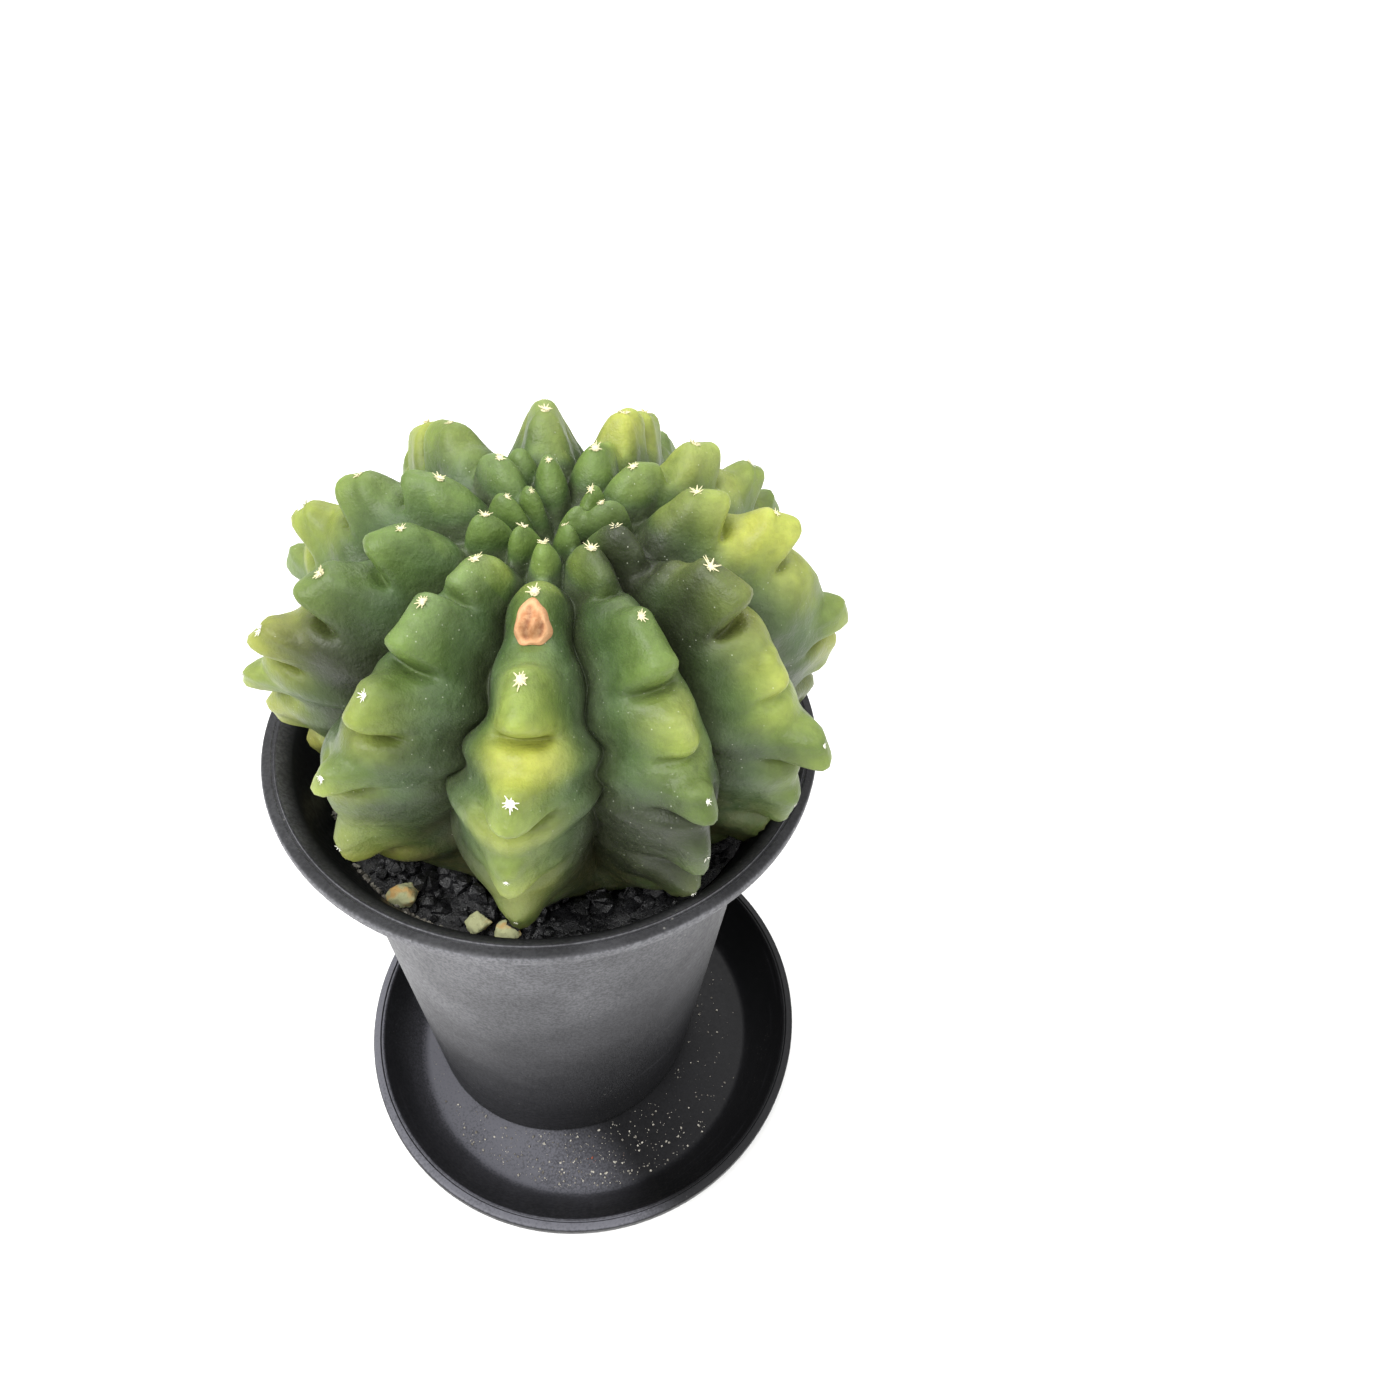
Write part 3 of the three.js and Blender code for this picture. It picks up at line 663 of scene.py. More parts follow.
# ---- materials ----------------------------------------------------------------------------
def waxy_cactus_skin(stem):
    """Living cactus epidermis: a satin, faintly translucent skin with a fine pebbled grain.

    The eye gets soft broad highlights, yellow-green crests, and dark furrows. The skin is painted
    lighter in patches yellowed by the sun where the light falls, and painted shade where little
    light reaches.
    """
    material, add, shader = new_material("waxy_cactus_skin")
    ridge, chin, swelling, sunned_and_lit, low, egg, painted_shade = (
        add("Attribute", attribute_name=name, out="Fac")
        for name in ("ridge", "chin", "swelling", "sunned_and_lit", "low", "egg", "painted_shade"))
    patches = lumps_at(add, 0.011, 3)
    mottle = lumps_at(add, 0.0028, 4, 0.6, 0.3)
    broken = add("MapRange", [patches, 0.2, 0.8, 0.6, 1.25], **SMOOTH)

    flank = add("MapRange", [ridge, 0.0, 0.42], **SMOOTH)
    crest = add("Math", [add("MapRange", [ridge, 0.35, 1.0], **SMOOTH), broken], **TIMES)
    # Painted light and real sun yellowing: in the sun-yellowed patches, which lie where the light
    # falls, the crests are painted brighter and the swellings and chins yellow.
    lit = add("Math", [sunned_and_lit, add("MapRange", [ridge, 0.10, 0.7], **SMOOTH)], **TIMES)
    lit = add("Math", [lit, broken], **TIMES)
    glow = add("Math", [add("Math", [swelling, chin], operation="ADD"), lit], **TIMES)
    old = add("Math", [add("MapRange", [low, 0.52, 0.65], **SMOOTH),
                       add("MapRange", [mottle, 0.2, 0.7], **SMOOTH)], **TIMES)
    # Painted shade: the shaded colour goes over the patches where little light reaches, less of it
    # on the chins, and the bloom is thinned there.
    unlit = add("Math", [painted_shade, add("MapRange", [chin, 0.0, 0.8, 0.92, 0.55], **SMOOTH)], **TIMES)
    clear = add("MapRange", [painted_shade, 0.0, 1.0, 0.24, 0.03], **SMOOTH)
    waxed = add("Math", [add("MapRange", [patches, 0.42, 0.72], **SMOOTH), clear], **TIMES)
    # Each layer goes over the ones before it: (share, strength of a layer that is thinned, colour).
    skin = tuple(stem.deep_green)
    for share, strength, over in (
            (flank, None, stem.green), (crest, 0.30, stem.bright), (lit, 0.85, stem.bright),
            (glow, 0.8, stem.yellow), (chin, 0.38, stem.bright), (egg, 0.25, stem.bright),
            (old, 0.6, stem.tan), (unlit, None, stem.shaded), (waxed, None, stem.bloom)):
        if strength is not None:
            share = add("Math", [share, strength], **TIMES)
        skin = add("Mix", {0: share, 6: skin, 7: tuple(over)}, **COLOURS)
    shade = add("MapRange", [mottle, 0.25, 0.75, 0.82, 1.12], **SMOOTH)
    grey = add("CombineColor", [shade, shade, shade])
    skin = add("Mix", {0: 1.0, 6: skin, 7: grey}, blend_type="MULTIPLY", **COLOURS)
    # Dust specks are 0.2 mm across, drawn a little larger so that they show.
    dust = add("Math", [specks_at(add, 0.0013, 0.11, patches, 0.45, 0.6), 0.35], **TIMES)
    skin = add("Mix", {0: dust, 6: skin, 7: linear("#dfe3cf")}, **COLOURS)

    grain = lumps_at(add, 0.00055, 2, 0.6, 0.7)
    dimples = lumps_at(add, 0.0016, 3, 0.55, 0.5)
    dimpled = add("Bump", {"Height": dimples, "Strength": 0.45, "Distance": 0.0005})
    pebbled = add("Bump", {"Height": grain, "Strength": 0.5, "Distance": 0.0002, "Normal": dimpled})
    connect(shader, {
        "Base Color": skin, "Roughness": add("MapRange", [mottle, 0.3, 0.8, 0.42, 0.6], **SMOOTH),
        "IOR": 1.42, "Specular IOR Level": 0.42, "Subsurface Weight": 0.12,
        "Subsurface Radius": (0.6, 1.0, 0.25), "Subsurface Scale": 0.0016, "Normal": pebbled})
    return material


def felted_wool(wool):
    """Areole wool: matt felt of very fine hairs, cream when young and white when weathered."""
    material, add, shader = new_material("felted_wool")
    young = add("Attribute", attribute_name="young", out="Fac")
    fibre = lumps_at(add, 0.0003, 2)
    base = add("Mix", {0: young, 6: tuple(wool.white), 7: tuple(wool.cream)}, **COLOURS)
    share = add("MapRange", [fibre, 0.3, 0.7, 0.0, 0.25], **SMOOTH)
    varied = add("Mix", {0: share, 6: base, 7: linear("#a79f84")}, **COLOURS)
    connect(shader, {
        "Base Color": varied, "Roughness": 0.95, "Sheen Weight": 0.3,
        "Normal": add("Bump", {"Height": fibre, "Strength": 0.4, "Distance": 0.0001})})
    return material


def dry_cork(scar):
    """Healed cork: dry, matt and flaking, pale on its raised rim and darker in its folds."""
    material, add, shader = new_material("dry_cork")
    rim, fold = (add("Attribute", attribute_name=name, out="Fac") for name in ("rim", "fold"))
    grain = lumps_at(add, 0.0009, 4, 0.65)
    base = add("Mix", {0: rim, 6: tuple(scar.cork), 7: tuple(scar.rim)}, **COLOURS)
    share = add("Math", [fold, 0.75], **TIMES)
    folded = add("Mix", {0: share, 6: base, 7: linear("#6f4229")}, **COLOURS)
    share = add("MapRange", [grain, 0.35, 0.7, 0.0, 0.45], **SMOOTH)
    varied = add("Mix", {0: share, 6: folded, 7: linear("#cfa57c")}, **COLOURS)
    connect(shader, {
        "Base Color": varied, "Roughness": 0.82,
        "Normal": add("Bump", {"Height": grain, "Strength": 0.6, "Distance": 0.0003})})
    return material


def moulded_polypropylene(name, plastic, dusty, side_share, top_share, light_and_dust_bands, roughness,
                          speck_size):
    """Moulded recycled polypropylene: satin to matt, with a fine mould grain, scuffs and dust.

    Each band (direction, from, to, amount) fades the film in along a direction; the bands hold dust
    and also painted light, the film paler towards the side the light comes from. The shares say how
    much of it stays on upright and on level faces. Faces painted "inside" carry none of the film.
    """
    material, add, shader = new_material(name)
    cloud = lumps_at(add, 0.02, 4, 0.6)
    fine = lumps_at(add, 0.0012, 3, 0.6, 0.4)
    powder = lumps_at(add, 0.0006, 2, 0.6, 0.2)
    where = add("TexCoord", out="Object")
    stretched = add("Mapping", {"Vector": where, "Scale": (30, 30, 900)})
    scuffs = add("TexNoise", {"Vector": stretched, "Scale": 1.0, "Detail": 3.0})
    upward = add("SeparateXYZ", [add("NewGeometry", out="Normal")], out="Z")
    total = 0.04
    for direction, start, end, amount in light_and_dust_bands:
        along = add("VectorMath", [where, direction], out="Value", operation="DOT_PRODUCT")
        band = add("MapRange", [along, start, end, 0, amount], **SMOOTH)
        total = add("Math", [total, band], operation="ADD")
    film = add("MapRange", [upward, 0.45, 0.95, side_share, top_share], **SMOOTH)
    for share in (total, add("MapRange", [cloud, 0.3, 0.7, 0.7, 1.2], **SMOOTH),
                  add("MapRange", [powder, 0.35, 0.65, 0.7, 1.3], **SMOOTH)):
        film = add("Math", [film, share], **TIMES)
    inside = add("Attribute", attribute_name="inside", out="Fac")
    film = add("Math", [film, add("Math", [1.0, inside], operation="SUBTRACT")], **TIMES)
    base = add("Mix", {0: film, 6: plastic, 7: dusty}, **COLOURS)
    share = add("MapRange", [scuffs, 0.62, 0.74, 0.0, 0.10], **SMOOTH)
    scuffed = add("Mix", {0: share, 6: base, 7: dusty}, **COLOURS)
    share = add("Math", [specks_at(add, speck_size, 0.10, cloud, 0.45, 0.7), 0.3], **TIMES)
    dusted = add("Mix", {0: share, 6: scuffed, 7: linear("#c9c6bd")}, **COLOURS)
    matt = add("MapRange", [fine, 0.3, 0.7, roughness - 0.06, roughness + 0.08], **SMOOTH)
    grained = add("Bump", {"Height": fine, "Strength": 0.12, "Distance": 0.00012})
    scratched = add("Bump", {"Height": scuffs, "Strength": 0.06, "Distance": 0.0001,
                             "Normal": grained})
    connect(shader, {"Base Color": dusted, "Roughness": matt, "IOR": 1.49,
                     "Specular IOR Level": 0.17, "Normal": scratched})
    return material


def crushed_lava(soil):
    """Crushed lava grit: near-black vesicular stone whose fresh breaks glint."""
    material, add, shader = new_material("crushed_lava")
    grain = lumps_at(add, 0.0007, 4, 0.7)
    share = add("MapRange", [lumps_at(add, 0.004, 2, 0.5, 0.2), 0.3, 0.7], **SMOOTH)
    base = add("Mix", {0: share, 6: tuple(soil.grit), 7: linear("#0c0c0d")}, **COLOURS)
    share = add("MapRange", [grain, 0.58, 0.8, 0.0, 0.35], **SMOOTH)
    dusty = add("Mix", {0: share, 6: base, 7: linear("#55565a")}, **COLOURS)
    connect(shader, {
        "Base Color": dusty, "Roughness": add("MapRange", [grain, 0.3, 0.7, 0.16, 0.55], **SMOOTH),
        "Normal": add("Bump", {"Height": grain, "Strength": 0.7, "Distance": 0.0004})})
    return material


def filmed_pumice(soil):
    """Pale pumice with a green film and ochre stains, matt and finely pitted."""
    material, add, shader = new_material("filmed_pumice")
    share = add("MapRange", [lumps_at(add, 0.0035, 2, 0.5), 0.52, 0.68], **SMOOTH)
    pits = lumps_at(add, 0.0006, 3, 0.65)
    base = add("Mix", {0: share, 6: tuple(soil.pale), 7: tuple(soil.ochre)}, **COLOURS)
    share = add("MapRange", [pits, 0.55, 0.7, 0.0, 0.55], **SMOOTH)
    pitted = add("Mix", {0: share, 6: base, 7: linear("#85875f")}, **COLOURS)
    connect(shader, {
        "Base Color": pitted, "Roughness": 0.85,
        "Normal": add("Bump", {"Height": pits, "Strength": 0.7, "Distance": 0.0003})})
    return material


def mineral_dust():
    """Loose mineral grains: beige to white, a few brick-red."""
    material, add, shader = new_material("mineral_dust")
    share = add("MapRange", [lumps_at(add, 0.0015, 1), 0.35, 0.7], **SMOOTH)
    base = add("Mix", {0: share, 6: linear("#5f5b54"), 7: linear("#b9b4a8")}, **COLOURS)
    share = add("MapRange", [lumps_at(add, 0.006, 1, 0.5, 0.9), 0.70, 0.74], **SMOOTH)
    mixed = add("Mix", {0: share, 6: base, 7: linear("#8a4a38")}, **COLOURS)
    connect(shader, {"Base Color": mixed, "Roughness": 0.9})
    return material


def matt_paper(stage):
    """Seamless matt paper for the floor."""
    material, add, shader = new_material("matt_paper")
    share = add("MapRange", [lumps_at(add, 0.004, 2), 0.3, 0.7, 0.0, 0.04], **SMOOTH)
    base = add("Mix", {0: share, 6: tuple(stage.paper), 7: linear("#e6e6e4")}, **COLOURS)
    connect(shader, {"Base Color": base, "Roughness": 0.95})
    return material


# ---- operators ----------------------------------------------------------------------------
class CACTUS_OT_stem(bpy.types.Operator):
    """Models the ribbed stem from a fine sphere"""

    bl_idname = "cactus.stem"
    bl_label = "Stem"

    def execute(self, context):
        stem = context.scene.cactus_stem
        skin = Skin(stem, context.scene.cactus_pot)
        deselect_all()
        columns = stem.per_rib * len(RIBS)
        bpy.ops.mesh.primitive_uv_sphere_add(segments=columns, ring_count=stem.rings, radius=1)
        piece = added()
        ball = get_points(piece)
        from_top = np.degrees(np.arccos(np.clip(ball[:, 2], -1, 1))) / 180
        around = np.degrees(np.arctan2(ball[:, 0], -ball[:, 1])) / 360 * len(RIBS)
        nearly = 1e-4
        around = (around + nearly) % len(RIBS)
        around[(from_top < nearly) | (from_top > 1 - nearly)] = 0
        index = np.floor(around).astype(int)
        across = 2 * (around - index) - 1
        across = np.sign(across) * (1 - (1 - np.abs(across)) ** CROWDING)
        shown = from_top / SHOWN_RINGS * SHOWN_POLAR
        rest = (from_top - SHOWN_RINGS) / 0.1 * (180 - SHOWN_POLAR)
        polar = np.where(from_top < SHOWN_RINGS, shown, SHOWN_POLAR + rest)
        points, values = skin.points(index, across, polar)
        x, y = (points - skin.centre).T[:2]
        azimuth = np.degrees(np.arctan2(x, -y))
        set_points(piece, points * MM)
        self.pebble(piece)
        for name, numbers in values.items():
            paint(piece, name, numbers)
        paint(piece, "low", polar / 180)
        # Patches yellowed by the sun, also painted lighter where the light falls.
        paint(piece, "sunned_and_lit", self.patches(SUNNED_AND_LIT, azimuth, polar))
        # Patches of painted shade where little light reaches.
        paint(piece, "painted_shade", self.patches(PAINTED_SHADE, azimuth, polar))
        only(piece)
        bpy.ops.object.shade_smooth()
        settle(piece, "cactus_skin", waxy_cactus_skin(stem),
               replaces=["cactus_stem"])
        return {"FINISHED"}

    @staticmethod
    def pebble(piece):
        """Slow unevenness of the living skin, a few tenths of a millimetre deep."""
        points = get_points(piece)
        normals = np.empty(len(points) * 3)
        piece.data.vertices.foreach_get("normal", normals)
        normals = normals.reshape(-1, 3)
        heights = np.array([
            0.35 * noise.noise(Vector(p) / 0.007) + 0.16 * noise.noise(Vector(p) / 0.0028)
            for p in points])
        set_points(piece, points + normals * heights[:, None] * MM)

    @staticmethod
    def patches(places, azimuth, polar):
        """How much of these patches each point has, from 0 to 1."""
        total = np.zeros_like(polar)
        for at_azimuth, at_polar, radius, strength in places:
            aside = (azimuth - at_azimuth + 180) % 360 - 180
            aside = aside * np.sin(np.radians(at_polar))
            total = np.maximum(total, strength * bell(np.hypot(aside, polar - at_polar) / radius))
        return np.minimum(total, 1)


class CACTUS_OT_wool(bpy.types.Operator):
    """Sets a tuft of wool on every areole but the worn bare ones"""

    bl_idname = "cactus.wool"
    bl_label = "Areole wool"

    def execute(self, context):
        wool = context.scene.cactus_wool
        skin = Skin(context.scene.cactus_stem, context.scene.cactus_pot)
        rng = random.Random(5)
        bases = [self.tuft(wool, rng) for _ in range(4)]
        tufts = []
        for index, rib in enumerate(skin.ribs):
            for areole in rib.areoles:
                worn_bare = areole.size < 0.55 and areole.polar > 50
                if worn_bare:
                    continue
                tufts.append(self.place(skin, index, areole, rng.choice(bases), rng))
        remove(*bases)
        piece = join(tufts)
        crown_height = skin.centre[2] * MM + 0.024
        young = [1 if p[2] > crown_height else 0 for p in get_points(piece)]
        paint(piece, "young", young)
        settle(piece, "areole_wool", felted_wool(wool), smooth=60)
        return {"FINISHED"}

    @staticmethod
    def tuft(wool, rng):
        """A low pad of felt with short hairs that lie outwards like a star."""
        deselect_all()
        bpy.ops.mesh.primitive_ico_sphere_add(subdivisions=2, radius=wool.size * 0.29)
        parts = [added()]
        pad = get_points(parts[0]) * np.array([1, 1, 0.5])
        pad *= 1 + 0.25 * np.array([[rng.uniform(-1, 1)] for _ in pad])
        set_points(parts[0], pad)
        for k in range(wool.strands):
            angle = 2 * math.pi * (k + rng.uniform(-0.3, 0.3)) / wool.strands
            reach = wool.size * rng.uniform(0.38, 0.70)
            bpy.ops.mesh.primitive_cone_add(vertices=4, radius1=wool.size * 0.09,
                                            radius2=wool.size * 0.025, depth=reach)
            hair = added()
            lean = Matrix.Rotation(angle, 4, "Z") @ Matrix.Rotation(rng.uniform(0.95, 1.45), 4, "Y")
            hair.data.transform(lean @ Matrix.Translation((0, 0, reach * 0.5)))
            parts.append(hair)
        return join(parts)

    @staticmethod
    def place(skin, index, areole, base, rng):
        """A tuft on one areole: small at the crown, and worn to half its size low on a rib."""
        above_tip, sunk = 0.4, 0.0001
        here, normal = skin.spot(index, 0.0, areole.polar - above_tip)
        grown = 0.75 if areole.polar < 10 else 1.0
        size = grown * rng.uniform(0.75, 1.2) * (0.5 if areole.polar > 70 else 1)
        wide, long = rng.uniform(0.8, 1.0) * size, rng.uniform(0.9, 1.25) * size
        turn = normal.to_track_quat("Z", "Y").to_matrix().to_4x4()
        spin = Matrix.Rotation(rng.uniform(0, 6.28), 4, "Z")
        stretch = Matrix.Diagonal((wide, long, size, 1))
        return copy_at(base, Matrix.Translation(here - normal * sunk) @ turn @ stretch @ spin)


class CACTUS_OT_scar(bpy.types.Operator):
    """Models the healed corky scar on the front rib"""

    bl_idname = "cactus.scar"
    bl_label = "Corky scar"

    def execute(self, context):
        scar = context.scene.cactus_scar
        skin = Skin(context.scene.cactus_stem, context.scene.cactus_pot)
        deselect_all()
        bpy.ops.mesh.primitive_uv_sphere_add(segments=64, ring_count=40, radius=1)
        piece = added()
        ball = get_points(piece)
        reach = np.hypot(ball[:, 0], ball[:, 1])
        angle = np.arctan2(ball[:, 1], ball[:, 0])
        ragged = 1 + 0.07 * np.sin(3 * angle + 0.6) + 0.04 * np.sin(7 * angle)
        across = ball[:, 0] * ragged * scar.short_side / 2
        along = ball[:, 1] * ragged * scar.long_side / 2
        rim = bell((reach - 0.80) / 0.16)
        folds = np.sin(across / MM * 2.4 + 0.9 * np.sin(along / MM * 1.3))
        folds = folds * (1 - ramp(reach, 0.55, 0.8))
        top = 0.00020 + 0.00045 * rim + 0.00022 * folds
        buried = -0.0005
        height = np.where(ball[:, 2] > 0, top * np.sqrt(np.clip(1 - reach ** 6, 0, 1)), buried)
        per_degree = skin.mm["radius"] * MM * math.radians(1)
        half_rib = 7.6 * MM
        u = across / half_rib
        polar = scar.polar + along / per_degree
        points, _ = skin.points(np.full(len(u), SCARRED_RIB), u, polar)
        _, normal = skin.spot(SCARRED_RIB, 0.0, scar.polar)
        set_points(piece, points * MM + np.array(normal)[None, :] * height[:, None])
        bpy.ops.object.mode_set(mode="EDIT")
        face_outwards()
        paint(piece, "rim", np.clip(rim, 0, 1))
        paint(piece, "fold", np.clip(-folds, 0, 1))
        settle(piece, "corky_scar", dry_cork(scar), smooth=60)
        return {"FINISHED"}


class CACTUS_OT_pot(bpy.types.Operator):
    """Turns the flared nursery pot and cuts its drain holes"""

    bl_idname = "cactus.pot"
    bl_label = "Pot"

    def execute(self, context):
        pot = context.scene.cactus_pot
        piece = turned(POT_AXIS.x, POT_AXIS.y, self.profile(pot), 160)
        self.drain(piece, pot)
        points = get_points(piece) + np.array(piece.location)
        away = np.hypot(points[:, 0] - POT_AXIS.x, points[:, 1] - POT_AXIS.y)
        wall = pot_radius(pot, np.maximum(points[:, 2] - POT_LOW.z, 0))
        paint(piece, "inside", away < np.minimum(wall, POT_RIM - pot.lip) - pot.wall * 0.5)
        # Painted light on a thin dust film: the pot is painted paler towards its collar, darker
        # towards its foot, and paler on its front left, the side the key light comes from.
        light_and_dust_bands = [((0, 0, 1), 0.03, 0.128, 0.30), ((-0.85, -0.3, 0.4), 0.02, 0.095, 0.30)]
        plastic = moulded_polypropylene("matt_polypropylene_pot", tuple(pot.plastic),
                                        tuple(pot.dusty), 1.0, 0.2, light_and_dust_bands, 0.5, 0.0026)
        settle(piece, "nursery_pot", plastic, smooth=35, replaces=["pot"])
        return {"FINISHED"}

    @staticmethod
    def profile(pot):
        """Outside up from the foot, over the grooved lip and down the inside to the floor."""
        bottom, top = POT_LOW.z, POT_HIGH.z
        rim = POT_RIM
        lip_bottom = POT_HEIGHT - 0.0026

        def wall(height, inset=0.0):
            return (float(pot_radius(pot, height)) - inset, bottom + height)

        flare = [pot.collar + (lip_bottom - pot.collar) * k / 9 for k in range(10)]
        outside = [wall(h) for h in (0.0012, 0.004, 0.03, 0.06, 0.09, pot.collar - 0.002)]
        outside += [wall(h) for h in flare]
        lip = [(rim - 0.0008, bottom + lip_bottom + 0.0001)]
        lip += rounded((rim - 0.0005, top - 0.0018), 0.0005, -70, 0)
        lip += rounded((rim - 0.0007, top - 0.0007), 0.0007, 0, 90)
        groove, groove_floor = rim - 0.0021, top - 0.0003
        lip += [(groove + 0.0004, top), (groove + 0.0002, groove_floor),
                (groove - 0.0002, groove_floor), (groove - 0.0004, top)]
        lip += rounded((rim - pot.lip + 0.0004, top - 0.0004), 0.0004, 90, 180, 3)
        inside = [wall(h, pot.wall) for h in reversed(flare)]
        inside += [wall(h, pot.wall) for h in (0.09, 0.05, 0.006)]
        foot = [(pot.foot - 0.0035, bottom + 0.0025), (pot.foot - 0.0030, bottom),
                (pot.foot - 0.0006, bottom), (pot.foot - 0.0001, bottom + 0.0004)]
        floor = [(pot.foot - 0.0022, bottom + 0.0043)]
        return foot + outside + lip + inside + floor

    @staticmethod
    def drain(piece, pot):
        """Round holes through the floor and notches through the foot ring."""
        count, ring, hole = 8, 0.026, 0.0025
        notch = (0.012, 0.008, 0.0024)
        cutters = []
        # Number -1 is the hole in the middle, and every second one in the ring has a notch.
        for k in range(-1, count):
            angle = k / count * 2 * math.pi
            spot = around_pot(ring if k >= 0 else 0, angle)
            deselect_all()
            bpy.ops.mesh.primitive_cylinder_add(vertices=28, radius=hole, depth=0.012,
                                                location=(*spot, POT_LOW.z))
            cutters.append(added())
            if k >= 0 and k % 2 == 0:
                spot = around_pot(pot.foot - 0.003, angle)
                bpy.ops.mesh.primitive_cube_add(size=1, location=(*spot, POT_LOW.z),
                                                rotation=(0, 0, angle), scale=notch)
                cutters.append(added())
        for cutter in cutters:
            cut = piece.modifiers.new("drain", "BOOLEAN")
            cut.operation, cut.solver, cut.object = "DIFFERENCE", "EXACT", cutter
        apply_modifiers(piece)
        remove(*cutters)


class CACTUS_OT_saucer(bpy.types.Operator):
    """Turns the deep saucer"""

    bl_idname = "cactus.saucer"
    bl_label = "Saucer"

    def execute(self, context):
        saucer = context.scene.cactus_saucer
        piece = turned(0, 0, self.profile(saucer), 160)
        # Dried dust and painted light on the floor: it is painted paler at the front left, the side
        # the key light comes from, and stays dark to the right, where the floor lies in shade.
        light_and_dust_bands = [((-0.85, -0.53, 0), 0.012, 0.034, 1.1)]
        plastic = moulded_polypropylene("satin_polypropylene_saucer", tuple(saucer.plastic),
                                        tuple(saucer.dusty), 0.1, 1.0, light_and_dust_bands, 0.42, 0.0009)
        settle(piece, "saucer_dish", plastic, smooth=35, replaces=["saucer"])
        return {"FINISHED"}

    @staticmethod
    def profile(saucer):
        """From the middle of the underside out, over the double lip and back to the floor."""
        floor, top, rim = saucer.floor_radius, SAUCER_HIGH.z, SAUCER_RIM
        outer = rim - saucer.lip
        inner = outer - saucer.wall
        outside = [(floor - 0.004, 0), (floor - 0.001, 0), (floor + 0.0006, 0.0004),
                   (floor + 0.0015, 0.0012), (outer, top - saucer.lip * 2)]
        lip = rounded((rim - 0.0006, top - saucer.lip * 1.5), 0.0006, -80, 0, 3)
        lip += rounded((rim - 0.0007, top - 0.0007), 0.0007, 0, 90, 4)
        step = [(outer - 0.0002, top), (outer - 0.0005, top - 0.0005),
                (inner + 0.0007, top - 0.0005), (inner + 0.0004, top - 0.0002),
                (inner, top - 0.0006)]
        inside = [(inner - 0.0003, top - saucer.lip), (floor + 0.0012, saucer.floor + 0.0018),
                  (floor, saucer.floor + 0.0006), (floor - 0.0006, saucer.floor + 0.0001),
                  (floor - 0.0014, saucer.floor), (0.030, saucer.floor)]
        return outside + lip + step + inside


